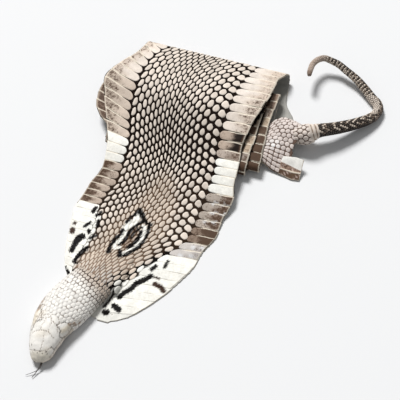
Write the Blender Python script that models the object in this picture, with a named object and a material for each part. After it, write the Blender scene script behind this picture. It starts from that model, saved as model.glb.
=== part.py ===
"""Cobra skin with its head and tail on, dried flat and rolled up from the tail end, scale side out.

The skin lies on a flat surface at z = 0. Y runs along the body from the head to the roll, X along the
roll towards the tail, and all values are in millimetres. The roll is one band that winds round two rows
of circles, a wide row at the far side and a narrow row at the near side.
"""

import math

import bpy
from mathutils import Vector

MM = 0.001

# The middle of the finished skin's box, which is moved onto the Z axis.
CENTRE = (7.2, -1.5)

SKIN_THICKNESS = 1.2
LYING = SKIN_THICKNESS / 2

FRONT_Y = -112.0
ARCH = [
    (-22.0, LYING), (-6.0, 2.6), (12.0, 7.2), (30.0, 11.4), (46.0, 13.2), (66.0, 17.0), (88.0, 20.6),
    (112.0, 18.2),
]
ARCH_FALL = math.radians(-19)

FAR_BENDS = [(132.6, 6.8, 6.2), (116.0, 8.6, 6.0), (110.5, 8.6, 4.1)]
NEAR_BENDS = [(39.0, 5.7, 5.1), (42.5, 5.8, 3.2), (49.0, 6.2, 1.7)]
LAST_RUN = 36.0
LAST_CLIMB = math.radians(2.5)

RUN_STEP = 7.6
BEND_STEP = math.radians(19)
COLUMNS = 14

# The skin's flat outline: distance along it from the front of the hood, then the X of its cut edge.
LEFT_EDGE = [
    (0, -44), (4, -54), (16, -68), (25, -74.6), (35, -81.4), (49, -85.7), (66, -88.9), (84, -91.4),
    (100, -88.2), (106, -87.3), (116, -83.5), (123, -81.6), (140, -83.5), (152, -87.6), (163, -92),
    (184, -100.3), (199, -105.2), (208, -103), (224, -94), (232, -89.5), (242, -86.8), (253, -84.8),
    (267, -82), (290, -88), (345, -88), (376, -88), (392, -95), (408, -105), (426, -105), (440, -92),
    (453, -80), (610, -80), (655, -68), (680, -46), (705, -10), (717, 2), (740, 8),
]
RIGHT_EDGE = [
    (0, -36), (4, -29.5), (8, -23.4), (15, -16.6), (31, -4.4), (50, 6.5), (57, 9.8), (73, 13.4),
    (88, 19.4), (104, 20.6), (112, 22.8), (123, 24), (130, 22.3), (138, 21.4), (153, 20.5), (166, 19.4),
    (184, 21.2), (204, 26.1), (223, 29.8), (240, 31.5), (249, 35.8), (258, 38.5), (285, 41.4),
    (303, 51.5), (325, 50), (347, 38), (361, 26.3), (392, 26.6), (410, 27), (472, 27), (500, 33),
    (546, 36.5), (560, 35.8), (575, 35), (595, 34.3), (614, 34.9), (628, 36), (740, 36),
]

# Head and neck, snout first: centre x, centre y, half width, underside z, widest z, top z.
HEAD = [
    (-70.0, -154.6, 2.8, 2.0, 3.8, 5.8),
    (-70.5, -152.3, 6.1, 1.0, 3.9, 8.8),
    (-71.2, -147.4, 8.7, 0.4, 4.2, 11.5),
    (-72.0, -140.6, 10.8, 0.1, 4.6, 13.3),
    (-72.2, -133.0, 12.8, 0.0, 5.0, 14.3),
    (-71.4, -124.0, 15.0, 0.0, 5.0, 14.7),
    (-68.4, -114.0, 16.8, 0.4, 4.6, 14.2),
    (-64.5, -104.0, 17.3, 0.5, 4.0, 13.2),
    (-60.2, -94.0, 16.8, 0.5, 3.4, 11.8),
    (-55.4, -84.0, 16.0, 0.5, 2.6, 9.6),
    (-50.8, -73.0, 14.2, 0.5, 1.6, 6.6),
    (-46.6, -61.0, 11.4, 0.5, 1.0, 3.6),
    (-42.8, -48.0, 8.0, 0.4, 0.8, 1.7),
]
HEAD_SIDES = 24
HEAD_STEPS = 3

MOUTH_CORNER_Y = -129.0
MOUTH_FRONT_Y = -160.0
MOUTH_CORNER_Z = 4.4
MOUTH_FRONT_Z = (2.2, 4.9)
MOUTH_SIDES_X = (-92.0, -52.0)

# The back end of the skin beside the roll: x, then (y, z) at its near edge, middle, ridge and far edge.
RUMP = [
    (14.0, (49.4, 7.9), (61.0, 8.4), (72.0, 8.9), (84.0, 9.4)),
    (33.0, (49.4, 7.9), (61.0, 8.4), (72.0, 8.9), (84.0, 9.4)),
    (38.5, (48.0, 5.4), (62.5, 9.2), (80.0, 11.2), (88.5, 10.8)),
    (45.0, (45.6, 2.4), (61.5, 9.8), (82.0, 14.2), (91.5, 11.6)),
    (52.0, (44.0, 1.4), (60.5, 9.0), (83.5, 15.6), (91.5, 10.0)),
    (58.0, (43.0, 1.0), (60.0, 8.4), (83.0, 16.4), (89.0, 10.0)),
]
RUMP_STEPS = 3
RUMP_COLUMNS = 9
RUMP_THICKNESS = 0.9

# The torn flap at the rump's near corner: x, then (y, z) at its near edge, middle and raised edge.
FLAP = [
    (50.0, (44.6, 1.6), (50.0, 4.6), (57.0, 7.6)),
    (57.0, (43.2, 1.0), (49.5, 4.0), (58.0, 7.4)),
    (62.0, (42.0, 0.9), (49.0, 3.4), (58.6, 7.6)),
    (66.5, (42.4, 0.9), (49.0, 3.2), (56.0, 8.4)),
]
FLAP_STEPS = 2
FLAP_COLUMNS = 6

# The tail with its collar, from inside the rump to the tip: x, y, z, radius.
TAIL = [
    (54.0, 77.0, 8.6, 4.8), (59.0, 78.0, 10.4, 7.2), (64.0, 79.6, 11.6, 8.3), (68.0, 81.4, 12.7, 7.4),
    (71.4, 83.6, 13.4, 5.8), (76.0, 86.3, 13.2, 5.3), (82.6, 90.0, 12.4, 5.0), (90.0, 95.2, 10.7, 4.8),
    (97.4, 101.2, 8.8, 4.6), (104.5, 107.8, 6.9, 4.4), (110.2, 114.0, 5.3, 4.2), (114.0, 120.4, 4.3, 4.0),
    (115.4, 126.0, 3.9, 3.9), (113.8, 131.2, 3.9, 3.9), (108.8, 135.8, 4.1, 3.8), (102.2, 142.0, 5.2, 3.6),
    (92.4, 149.8, 7.2, 3.3), (82.9, 154.8, 9.1, 3.0), (73.1, 159.2, 11.0, 2.8), (63.9, 160.0, 13.0, 2.6),
    (58.0, 156.4, 14.0, 2.5), (54.2, 147.8, 15.0, 2.4), (53.9, 140.4, 15.8, 2.2), (54.4, 135.8, 16.2, 1.6),
]
TAIL_SIDES = 10

# The forked tongue: its centre line from inside the mouth to the fork, then the tips of both tines.
TONGUE_ROOT = (-69.6, -148.6, 3.5)
TONGUE_LIP = (-69.0, -155.6, 3.3)
TONGUE_FORK = (-70.0, -159.0, 2.2)
TONGUE_TIPS = [(-77.0, -164.4, 1.0), (-72.2, -165.0, 1.0)]
TONGUE_WIDTH = 1.8
TINE_WIDTH = 1.0
TONGUE_THICKNESS = 0.8


def clear_scene():
    for old in list(bpy.data.objects):
        bpy.data.objects.remove(old, do_unlink=True)


def make_material(name, colour, roughness):
    material = bpy.data.materials.new(name)
    material.use_nodes = True
    shader = material.node_tree.nodes["Principled BSDF"]
    shader.inputs["Base Color"].default_value = (*colour, 1)
    shader.inputs["Roughness"].default_value = roughness
    shader.inputs["Metallic"].default_value = 0
    return material


def placed(x, y, z):
    """A point in metres, with the object's box centred on the Z axis."""
    return Vector(((x - CENTRE[0]) * MM, (y - CENTRE[1]) * MM, z * MM))


def make_object(name, points, faces, material):
    mesh = bpy.data.meshes.new(name)
    mesh.from_pydata(points, [], faces)
    mesh.materials.append(material)
    made = bpy.data.objects.new(name, mesh)
    bpy.context.collection.objects.link(made)
    return made


def hermite(a, b, slope_a, slope_b, width, part):
    """A cubic from a to b with the given end slopes, at part = 0 to 1 of its width."""
    back = 1 - part
    swell = slope_a * back - slope_b * part
    return a + (b - a) * part * part * (3 - 2 * part) + width * part * back * swell


def slope_at(stations, i):
    """Slope through station i, none at a high or low point, so that the curve stays between stations."""
    if i == 0 or i == len(stations) - 1:
        return 0.0
    before = (stations[i][1] - stations[i - 1][1]) / (stations[i][0] - stations[i - 1][0])
    after = (stations[i + 1][1] - stations[i][1]) / (stations[i + 1][0] - stations[i][0])
    if before * after <= 0:
        return 0.0
    return 2 * before * after / (before + after)


def value_at(stations, where):
    """The smooth curve through (place, value) stations."""
    for i in range(len(stations) - 1):
        start, end = stations[i], stations[i + 1]
        if where <= end[0]:
            width = end[0] - start[0]
            part = max(0.0, (where - start[0]) / width)
            return hermite(start[1], end[1], slope_at(stations, i), slope_at(stations, i + 1), width, part)
    return stations[-1][1]


def smooth_rows(rows, steps):
    """Rows of numbers with steps - 1 more between each two, on a smooth curve through them all."""
    columns = [[(i, row[c]) for i, row in enumerate(rows)] for c in range(len(rows[0]))]
    count = (len(rows) - 1) * steps
    return [[value_at(column, k / steps) for column in columns] for k in range(count + 1)]


def outward(heading):
    return (-math.sin(heading), math.cos(heading))


def roll_line():
    """The skin's middle line in the YZ plane, as (y, z, heading), from the hood to its rolled-in end."""
    bends = [bend for pair in zip(FAR_BENDS, NEAR_BENDS) for bend in pair]
    start_y = ARCH[0][0]
    flat_steps = round((start_y - FRONT_Y) / RUN_STEP)
    line = [(FRONT_Y + (start_y - FRONT_Y) * k / flat_steps, LYING, 0.0) for k in range(flat_steps + 1)]
    add_arch(line, bends[0])
    heading = ARCH_FALL
    for i, (y, z, radius) in enumerate(bends):
        if i:
            add_run(line, y - radius * math.sin(heading), z + radius * math.cos(heading), heading)
        if i + 1 < len(bends):
            next_y, next_z, next_radius = bends[i + 1]
            reach = math.hypot(next_y - y, next_z - z)
            leaving = math.atan2(next_z - z, next_y - y) + math.asin((next_radius - radius) / reach)
        else:
            leaving = heading - math.pi + LAST_CLIMB
        while leaving > heading:
            leaving -= 2 * math.pi
        steps = math.ceil((heading - leaving) / BEND_STEP)
        for k in range(1, steps + 1):
            turned = heading + (leaving - heading) * k / steps
            side = outward(turned)
            line.append((y + radius * side[0], z + radius * side[1], turned))
        heading = leaving
    y, z, heading = line[-1]
    add_run(line, y + LAST_RUN * math.cos(heading), z + LAST_RUN * math.sin(heading), heading)
    return line


def add_arch(line, bend):
    """The top sheet, from the flat hood over the arch to where it meets the first bend."""
    y, z, radius = bend
    side = outward(ARCH_FALL)
    end = (y + radius * side[0], z + radius * side[1])
    past = (end[0] + RUN_STEP, end[1] + RUN_STEP * math.tan(ARCH_FALL))
    stations = ARCH + [end, past]
    start_y = ARCH[0][0]
    steps = round((end[0] - start_y) / RUN_STEP)
    for k in range(1, steps + 1):
        y = start_y + (end[0] - start_y) * k / steps
        climb = value_at(stations, y + 0.01) - value_at(stations, y - 0.01)
        line.append((y, value_at(stations, y), math.atan2(climb, 0.02)))


def add_run(line, y, z, heading):
    start_y, start_z = line[-1][:2]
    length = math.hypot(y - start_y, z - start_z)
    steps = max(1, round(length / RUN_STEP))
    for k in range(1, steps + 1):
        part = k / steps
        line.append((start_y + (y - start_y) * part, start_z + (z - start_z) * part, heading))


def closed_sheet(name, upper, lower, material):
    """A solid between two grids of points that run alike, row by row."""
    rows, columns = len(upper), len(upper[0])
    points = [placed(*p) for row in upper for p in row] + [placed(*p) for row in lower for p in row]
    under = rows * columns
    faces = []
    for r in range(rows - 1):
        for c in range(columns - 1):
            a, b = r * columns + c, (r + 1) * columns + c
            faces.append((a, a + 1, b + 1, b))
            faces.append((under + a, under + b, under + b + 1, under + a + 1))
    rim = [c for c in range(columns)]
    rim += [r * columns + columns - 1 for r in range(1, rows)]
    rim += [(rows - 1) * columns + c for c in range(columns - 2, -1, -1)]
    rim += [r * columns for r in range(rows - 2, 0, -1)]
    for i, a in enumerate(rim):
        b = rim[(i + 1) % len(rim)]
        faces.append((b, a, under + a, under + b))
    return make_object(name, points, faces, material)


def make_rolled_skin(material):
    line = roll_line()
    upper, lower = [], []
    along = 0.0
    for i, (y, z, heading) in enumerate(line):
        if i:
            along += math.hypot(y - line[i - 1][0], z - line[i - 1][1])
        left = value_at(LEFT_EDGE, along)
        right = value_at(RIGHT_EDGE, along)
        side = outward(heading)
        xs = [left + (right - left) * c / COLUMNS for c in range(COLUMNS + 1)]
        upper.append([(x, y + side[0] * LYING, z + side[1] * LYING) for x in xs])
        lower.append([(x, y - side[0] * LYING, z - side[1] * LYING) for x in xs])
    return closed_sheet("hide", upper, lower, material)


def loft(name, rings, material):
    """A solid through closed rings of points, capped flat at both ends."""
    sides = len(rings[0])
    points = [placed(*p) for ring in rings for p in ring]
    faces = [tuple(range(sides))]
    for r in range(len(rings) - 1):
        for s in range(sides):
            a, b = r * sides + s, r * sides + (s + 1) % sides
            faces.append((b, a, a + sides, b + sides))
    last = (len(rings) - 1) * sides
    faces.append(tuple(last + s for s in reversed(range(sides))))
    return make_object(name, points, faces, material)


def neighbours(rows, i):
    """The rows before and after row i, or row i itself at an end."""
    return rows[max(i - 1, 0)], rows[min(i + 1, len(rows) - 1)]


def make_head(material):
    rows = smooth_rows(HEAD, HEAD_STEPS)
    rings = []
    for i, (x, y, half_width, under, widest, top) in enumerate(rows):
        before, after = neighbours(rows, i)
        ahead = Vector((after[0] - before[0], after[1] - before[1])).normalized()
        ring = []
        for s in range(HEAD_SIDES):
            angle = 2 * math.pi * s / HEAD_SIDES
            across, up = math.cos(angle), math.sin(angle)
            rise = (top - widest) * up ** 0.85 if up > 0 else -(widest - under) * (-up) ** 0.5
            offset = half_width * across
            ring.append((x + ahead.y * offset, y - ahead.x * offset, widest + rise))
        rings.append(ring)
    return loft("head_form", rings, material)


def make_mouth(material):
    """The gap between the jaws, a wedge that opens towards the snout."""
    low, high = MOUTH_FRONT_Z
    corner = (MOUTH_CORNER_Y, MOUTH_CORNER_Z)
    profile = [corner, (MOUTH_FRONT_Y, low), (MOUTH_FRONT_Y, high)]
    points = [placed(x, y, z) for x in MOUTH_SIDES_X for y, z in profile]
    faces = [(0, 1, 2), (5, 4, 3), (1, 0, 3, 4), (2, 1, 4, 5), (0, 2, 5, 3)]
    return make_object("mouth_gap", points, faces, material)


def sheet_from_sections(name, sections, row_steps, columns, thickness, material):
    """A thin solid through cross-sections, each an x and its (y, z) points from the near edge on."""
    spread = len(sections[0]) - 1
    flat = [[section[0]] + [v for point in section[1:] for v in point] for section in sections]
    middle = []
    for row in smooth_rows(flat, row_steps):
        section = [(row[1 + 2 * k], row[2 + 2 * k]) for k in range(spread)]
        cut = smooth_rows(section, columns // (spread - 1))
        middle.append([(row[0], y, z) for y, z in cut])
    upper, lower = [], []
    for row in middle:
        above, below = [], []
        for i, (x, y, z) in enumerate(row):
            before, after = neighbours(row, i)
            side = outward(math.atan2(after[2] - before[2], after[1] - before[1]))
            above.append((x, y + side[0] * thickness / 2, z + side[1] * thickness / 2))
            below.append((x, y - side[0] * thickness / 2, z - side[1] * thickness / 2))
        upper.append(above)
        lower.append(below)
    return closed_sheet(name, lower, upper, material)


def make_tail(material):
    rings = []
    for i, (x, y, z, radius) in enumerate(TAIL):
        before, after = neighbours(TAIL, i)
        ahead = Vector((after[0] - before[0], after[1] - before[1], after[2] - before[2])).normalized()
        side = ahead.cross(Vector((0, 0, 1))).normalized()
        top = side.cross(ahead)
        ring = []
        for s in range(TAIL_SIDES):
            angle = 2 * math.pi * s / TAIL_SIDES
            point = Vector((x, y, z)) + (side * math.cos(angle) + top * math.sin(angle)) * radius
            ring.append(tuple(point))
        rings.append(ring)
    return loft("tail_form", rings, material)


def combine(target, tool, operation):
    """Joins or cuts target with tool, which stays as a hidden guide."""
    tool.hide_render = True
    tool.display_type = "WIRE"
    step = target.modifiers.new(tool.name, "BOOLEAN")
    step.operation = operation
    step.solver = "EXACT"
    step.object = tool


def make_hide():
    skin = make_material("tanned_scaled_skin", (0.56, 0.48, 0.40), 0.5)
    hide = make_rolled_skin(skin)
    rump = sheet_from_sections("rump_form", RUMP, RUMP_STEPS, RUMP_COLUMNS, RUMP_THICKNESS, skin)
    flap = sheet_from_sections("flap_form", FLAP, FLAP_STEPS, FLAP_COLUMNS, RUMP_THICKNESS, skin)
    combine(hide, make_head(skin), "UNION")
    combine(hide, rump, "UNION")
    combine(hide, flap, "UNION")
    combine(hide, make_tail(skin), "UNION")
    combine(hide, make_mouth(skin), "DIFFERENCE")
    return hide


def make_tongue():
    dark = make_material("dried_tongue", (0.14, 0.13, 0.12), 0.6)
    half, thin = TONGUE_WIDTH / 2, TINE_WIDTH / 2
    left_tip, right_tip = TONGUE_TIPS
    outline = [
        (TONGUE_ROOT[0] - half, *TONGUE_ROOT[1:]),
        (TONGUE_LIP[0] - half, *TONGUE_LIP[1:]),
        (TONGUE_FORK[0] - half, *TONGUE_FORK[1:]),
        (left_tip[0] - thin, *left_tip[1:]),
        (left_tip[0] + thin, left_tip[1] - thin, left_tip[2]),
        (TONGUE_FORK[0], TONGUE_FORK[1] - TINE_WIDTH, TONGUE_FORK[2]),
        (right_tip[0] - thin, right_tip[1] - thin, right_tip[2]),
        (right_tip[0] + thin, *right_tip[1:]),
        (TONGUE_FORK[0] + half, *TONGUE_FORK[1:]),
        (TONGUE_LIP[0] + half, *TONGUE_LIP[1:]),
        (TONGUE_ROOT[0] + half, *TONGUE_ROOT[1:]),
    ]
    under = [placed(x, y, z - TONGUE_THICKNESS / 2) for x, y, z in outline]
    over = [placed(x, y, z + TONGUE_THICKNESS / 2) for x, y, z in outline]
    count = len(outline)
    flats = [(0, 1, 9, 10), (1, 2, 8, 9), (2, 3, 4, 5), (5, 6, 7, 8), (2, 5, 8)]
    faces = [tuple(reversed(face)) for face in flats]
    faces += [tuple(count + i for i in face) for face in flats]
    faces += [(i, (i + 1) % count, count + (i + 1) % count, count + i) for i in range(count)]
    return make_object("tongue", under + over, faces, dark)


clear_scene()
make_hide()
make_tongue()
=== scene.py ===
import math
import random

import bpy
import numpy as np
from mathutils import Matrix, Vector


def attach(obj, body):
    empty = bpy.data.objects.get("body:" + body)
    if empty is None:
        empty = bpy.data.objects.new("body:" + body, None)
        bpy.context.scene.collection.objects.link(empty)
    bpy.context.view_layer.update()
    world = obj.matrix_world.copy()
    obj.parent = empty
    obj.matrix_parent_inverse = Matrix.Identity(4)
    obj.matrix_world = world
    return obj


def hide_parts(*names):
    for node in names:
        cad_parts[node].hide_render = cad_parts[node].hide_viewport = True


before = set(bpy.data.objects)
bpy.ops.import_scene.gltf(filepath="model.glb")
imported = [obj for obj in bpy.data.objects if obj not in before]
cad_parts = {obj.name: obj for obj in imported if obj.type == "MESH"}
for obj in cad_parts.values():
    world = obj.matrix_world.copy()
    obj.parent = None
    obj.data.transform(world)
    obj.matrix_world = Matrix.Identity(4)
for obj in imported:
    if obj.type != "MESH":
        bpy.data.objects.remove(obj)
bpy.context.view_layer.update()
print("frame loaded")

# Every length is in millimetres. X runs along the roll to the tail, Y from the snout to the roll, Z up.
mm = 0.001
hide = {
    "middle": (7.2, -1.5),   # this place comes onto the origin
    "underSide": -0.55,      # the flesh side, measured from the middle of the skin
    "netSide": 0.05,         # the dark skin between the scales
    "scaleTop": 0.56,
    "lean": 0.022,           # how far the far fold turns from the X axis
    "hoodEnd": 100,          # how far along the skin the neck lies under it
}


# A display colour, 0 to 255, as linear light.
def tint(red, green, blue):
    return np.array([(part / 255) ** 2.2 for part in (red, green, blue)])


# The smooth curve through (place, value) stations, which never overshoots them.
def through(stations, where):
    places, values = np.array(stations, float).T
    slopes = np.zeros(len(places))
    steps = np.diff(values) / np.diff(places)
    product = steps[:-1] * steps[1:]
    same = product > 0
    slopes[1:-1][same] = 2 * product[same] / (steps[:-1] + steps[1:])[same]
    where = np.clip(where, places[0], places[-1])
    i = np.clip(np.searchsorted(places, where) - 1, 0, len(places) - 2)
    width = places[i + 1] - places[i]
    part = (where - places[i]) / width
    back = 1 - part
    swell = slopes[i] * back - slopes[i + 1] * part
    return values[i] + (values[i + 1] - values[i]) * part**2 * (3 - 2 * part) + width * part * back * swell


# Straight runs between (place, value) stations.
def between(stations, where):
    return np.interp(where, *np.array(stations, float).T)


# Every column of a table at places that count its rows, on smooth curves.
def tableAt(rows, where):
    places = np.arange(len(rows))
    return [through(np.column_stack([places, column]), where) for column in np.array(rows, float).T]


# A table with steps - 1 more rows between each two.
def smoothRows(rows, steps):
    return np.stack(tableAt(rows, np.linspace(0, len(rows) - 1, (len(rows) - 1) * steps + 1)), -1)


# How far along a line each of its points is.
def travelled(points):
    return np.concatenate([[0], np.cumsum(np.linalg.norm(np.diff(points, axis=0), axis=1))])


def unit(vectors):
    return vectors / np.maximum(np.linalg.norm(vectors, axis=-1, keepdims=True), 1e-9)


# From nothing at low to one at high, eased at both ends. It falls where low is the larger one.
def smoothStep(low, high, where):
    part = np.clip((np.asarray(where, float) - low) / (high - low), 0, 1)
    return part * part * (3 - 2 * part)


def blendTo(a, b, amount):
    amount = np.asarray(amount, float)[..., None]
    return a * (1 - amount) + b * amount


# A colour with others laid over it in turn, each as strong as its mask. Three numbers are a display colour.
def layered(colour, *layers):
    for upper, mask in layers:
        colour = blendTo(colour, tint(*upper) if isinstance(upper, tuple) else upper, mask)
    return colour


# The point of a bend's circle where the skin runs at a heading.
def onBend(bend, heading):
    y, z, radius = bend
    return y - radius * math.sin(heading), z + radius * math.cos(heading)


# The roll: one band wound round two rows of circles, then cut to the outline of the flat skin.
roll = {
    "front": -112.0,
    "arch": [(-22, 0.6), (-6, 2.6), (12, 7.2), (30, 11.4), (46, 13.2), (66, 17), (88, 20.6), (112, 18.2)],
    "archFall": math.radians(-19),
    "farBends": [(132.6, 6.8, 6.2), (116.0, 8.6, 6.0), (110.5, 8.6, 4.1)],
    "nearBends": [(39.0, 5.7, 5.1), (42.5, 5.8, 3.2), (49.0, 6.2, 1.7)],
    "lastRun": 36.0,
    "lastClimb": math.radians(2.5),
    "leftEdge": [
        (0, -44), (4, -54), (16, -68), (25, -74.6), (35, -81.4), (49, -85.7), (66, -88.9), (84, -91.4),
        (100, -88.2), (106, -87.3), (116, -83.5), (123, -81.6), (140, -83.5), (152, -87.6), (163, -92),
        (184, -100.3), (199, -105.2), (208, -103), (224, -94), (232, -89.5), (242, -86.8), (253, -84.8),
        (267, -82), (290, -88), (345, -88), (376, -88), (385, -92), (391, -99.5), (399, -104.5),
        (412, -107.5), (424, -106), (434, -98), (445, -84), (453, -80), (610, -80), (655, -68), (680, -46),
        (705, -10), (717, 2), (740, 8),
    ],
    "rightEdge": [
        (0, -36), (4, -29.5), (8, -23.4), (15, -16.6), (31, -4.4), (50, 6.5), (57, 9.8), (73, 13.4),
        (88, 19.4), (104, 20.6), (112, 22.8), (123, 24), (130, 22.3), (138, 21.4), (153, 20.5), (166, 19.4),
        (184, 21.2), (204, 26.1), (223, 29.8), (240, 31.5), (249, 35.8), (258, 38.5), (285, 41.4),
        (303, 51.5), (325, 50), (347, 38), (361, 26.3), (392, 26.6), (410, 27), (472, 27), (500, 33),
        (546, 36.5), (560, 35.8), (575, 35), (595, 34.3), (614, 34.9), (628, 36), (740, 36),
    ],
    "leftBorder": [
        (0, -62), (20, -72), (36, -75), (48, -74), (62, -72.5), (75, -72.5), (88, -73), (100, -71.2),
        (117, -66.5), (138, -66.3), (153, -68.8), (168, -73), (190, -76.5), (206, -76.6), (224, -75.4),
        (240, -70.9), (262, -62), (290, -64), (376, -64), (408, -80), (426, -80), (453, -56), (610, -56),
        (655, -50), (680, -40), (705, -4), (740, 10),
    ],
    "rightBorder": [
        (0, -41), (14, -39.5), (19, -38), (24, -36), (29, -33.8), (42, -27), (52, -22), (65, -12), (73, -5.5),
        (80, -2), (89, -0.5), (103, 0.5), (118, 2.1), (133, 2.9), (148, 2.1), (162, -0.4), (180, -1.4),
        (197, -0.4), (215, 1.1), (230, 4), (249, 10), (270, 16), (303, 26), (325, 25), (361, 3), (472, 4),
        (546, 12), (614, 11), (740, 12),
    ],
}


# The middle of the skin from the hood on: distance along it, y, z and heading, all as arrays.
def rollLine():
    bends = [bend for pair in zip(roll["farBends"], roll["nearBends"]) for bend in pair]
    startY, startZ = roll["arch"][0]
    rows = [(y, startZ, 0.0) for y in np.arange(roll["front"], startY, 1.0)]
    heading = roll["archFall"]
    end = onBend(bends[0], heading)
    stations = roll["arch"] + [end, (end[0] + 8, end[1] + 8 * math.tan(heading))]
    places = np.arange(startY, end[0], 0.8)
    climbs = (through(stations, places + 0.05) - through(stations, places - 0.05)) / 0.1
    rows += list(zip(places, through(stations, places), np.arctan(climbs)))
    rows.append((*end, heading))
    for bend, following in zip(bends, bends[1:] + [None]):
        rows.append((*onBend(bend, heading), heading))
        if following:
            goY, goZ, growth = (after - before for after, before in zip(following, bend))
            leaving = math.atan2(goZ, goY) + math.asin(growth / math.hypot(goY, goZ))
        else:
            leaving = heading - math.pi + roll["lastClimb"]
        while leaving > heading:
            leaving -= 2 * math.pi
        rows += [(*onBend(bend, turned), turned) for turned in np.linspace(heading, leaving, 25)[1:]]
        heading = leaving
    y, z, heading = rows[-1]
    rows.append((y + roll["lastRun"] * math.cos(heading), z + roll["lastRun"] * math.sin(heading), heading))
    line = np.array(rows)
    return travelled(line[:, :2]), *line.T


rollAlong, rollY, rollZ, rollHeading = rollLine()
skinLength = rollAlong[-1]

# Head and neck, snout first: centre x, centre y, half width, underside z, widest z, top z.
head = {
    "rows": np.array([
        (-70.0, -154.6, 2.8, 2.0, 3.8, 5.8),
        (-70.5, -152.3, 6.1, 1.0, 3.9, 8.8),
        (-71.2, -147.4, 8.7, 0.4, 4.2, 11.5),
        (-72.0, -140.6, 10.8, 0.1, 4.6, 13.3),
        (-72.2, -133.0, 12.8, 0.0, 5.0, 14.3),
        (-71.4, -124.0, 15.0, 0.0, 5.0, 14.7),
        (-68.4, -114.0, 16.8, 0.4, 4.6, 14.2),
        (-64.5, -104.0, 17.3, 0.5, 4.0, 13.2),
        (-60.2, -94.0, 16.8, 0.5, 3.4, 11.8),
        (-55.4, -84.0, 16.0, 0.5, 2.6, 9.6),
        (-50.8, -73.0, 14.2, 0.5, 1.6, 6.6),
        (-46.6, -61.0, 11.4, 0.5, 1.0, 3.6),
        (-42.8, -48.0, 8.0, 0.4, 0.8, 1.7),
    ]),
    "mouthCorner": (-129.0, 4.4),   # y and z of the mouth line's two ends
    "mouthFront": (-160.0, 4.9),
    "end": 9.9,                     # the last place, in rows of the table
    "grid": (168, 220),
    "seamDepth": 0.28,
    "socketDepth": 0.5,
    "lidRise": 0.35,
    "swell": 0.1,
}


# A point of the head and neck: where counts rows from the snout, angle 0 is right and a quarter turn is up.
def headPoint(where, angle):
    x, y, halfWidth, under, widest, top = tableAt(head["rows"], where)
    before, after = (tableAt(head["rows"][:, :2], where + step) for step in (-0.05, 0.05))
    goX, goY = after[0] - before[0], after[1] - before[1]
    length = np.hypot(goX, goY)
    up = np.sin(angle)
    rise = np.where(up > 0, (top - widest) * np.abs(up) ** 0.85, (under - widest) * np.abs(up) ** 0.5)
    offset = halfWidth * np.cos(angle)
    return np.stack([x + goY / length * offset, y - goX / length * offset, widest + rise], -1)


# Where a distance along the skin lies from front to back.
def yAt(along):
    return np.interp(along, rollAlong, rollY)


# How far back along the neck's own line a place is.
def neckFoot(x, y):
    foot = y
    for _ in range(3):
        foot = y + 0.36 * (x - through(head["rows"][:, [1, 0]], foot))
    return foot


# How high the neck stands under the hood's skin at a place.
def neckHeight(x, y):
    foot = neckFoot(x, y)
    centre, halfWidth, widest, top = (through(head["rows"][:, [1, c]], foot) for c in (0, 2, 4, 5))
    off = (x - centre) * 0.92 / (halfWidth * 1.04)
    inside = np.clip(1 - off * off, 0, 1)
    return widest * np.minimum(1, inside * 6) + (top - widest) * inside**0.5


# A point on the middle of the skin.
def skinPoint(x, along):
    y, z = yAt(along), np.interp(along, rollAlong, rollZ)
    onHood = along < hide["hoodEnd"]
    overNeck = smoothStep(-88, -82.5, neckFoot(x, y)) * (1 - smoothStep(-52, -48, y)) * onHood
    lift = neckHeight(x, y) * overNeck - 0.6
    z = z + 0.5 * (lift + np.hypot(lift, 0.8)) * onHood
    y = y - hide["lean"] * x * smoothStep(92, 128, y)
    return np.stack([x + 0 * y, y, z], -1)


# Points at a height above a surface that is given by a function of two places.
def onSurface(pointAt, a, b, height, stepA=0.05, stepB=0.05):
    a, b = np.broadcast_arrays(np.asarray(a, float), np.asarray(b, float))
    alongA = pointAt(a + stepA, b) - pointAt(a - stepA, b)
    alongB = pointAt(a, b + stepB) - pointAt(a, b - stepB)
    return pointAt(a, b) + unit(np.cross(alongA, alongB)) * np.asarray(height)[..., None]


# Places in the net: columns count from the left border of the back scales, rows towards the tail.
net = {
    "columns": 20,
    "firstRow": -24,
    "endRow": 88,
    "middleGap": 2.72,
    "leftGrowth": 1.5,
    "rightGrowth": 3.2,
    "leftRows": [(-16, -12), (-12, 13), (-8, 38), (-4, 63), (0, 87.7), (4, 111), (8, 138.6), (12, 168.2),
                 (16, 204), (20, 239), (23, 263), (79, 742)],
    "rightRows": [(-16, -24), (-12, 3), (-8, 31), (-4, 60), (0, 88.8), (3, 110.4), (6, 133.6), (9, 155.1),
                  (12, 180.4), (15, 206.2), (18, 230.5), (22, 263), (78, 742)],
    "slant": 0.345,
    "flankSlant": 0.13,
    "gap": 0.85,
    "sharpness": 4.6,
    "pointedBy": 0.42,
    "scaleSides": 12,
    "tipSharpness": 7.0,
}


# The share of the way between the borders, and the row offset, for every column.
def netTables():
    middle = (net["columns"] - 1) / 2
    ends = np.arange(-0.5, net["columns"])
    off = (ends - middle) / middle
    growth = np.where(off < 0, net["leftGrowth"], net["rightGrowth"])
    widths = net["middleGap"] + growth * off**2
    places = np.concatenate([[0], np.cumsum((widths[:-1] + widths[1:]) / 2)])
    places /= places[-1]
    columns = np.arange(net["columns"] + 1)
    steps = net["slant"] + net["flankSlant"] * np.abs((columns - middle) / middle) ** 3
    offsets = np.concatenate([[0], np.cumsum(np.where(columns[1:] <= middle, steps[1:], -steps[1:]))])
    return ends, places, offsets


netEnds, netPlaces, netOffsets = netTables()


# Where a place in the net lies on the skin, as x and distance along it.
def netPlace(column, row):
    share = np.interp(column, netEnds, netPlaces)
    along = between(net["leftRows"], row) * (1 - share) + between(net["rightRows"], row) * share
    x = through(roll["leftBorder"], along) * (1 - share) + through(roll["rightBorder"], along) * share
    return x, along


# Millimetres of the layout as metres from the part's origin.
def inFrame(points):
    return (np.asarray(points, float) - (*hide["middle"], 0)) * mm


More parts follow.
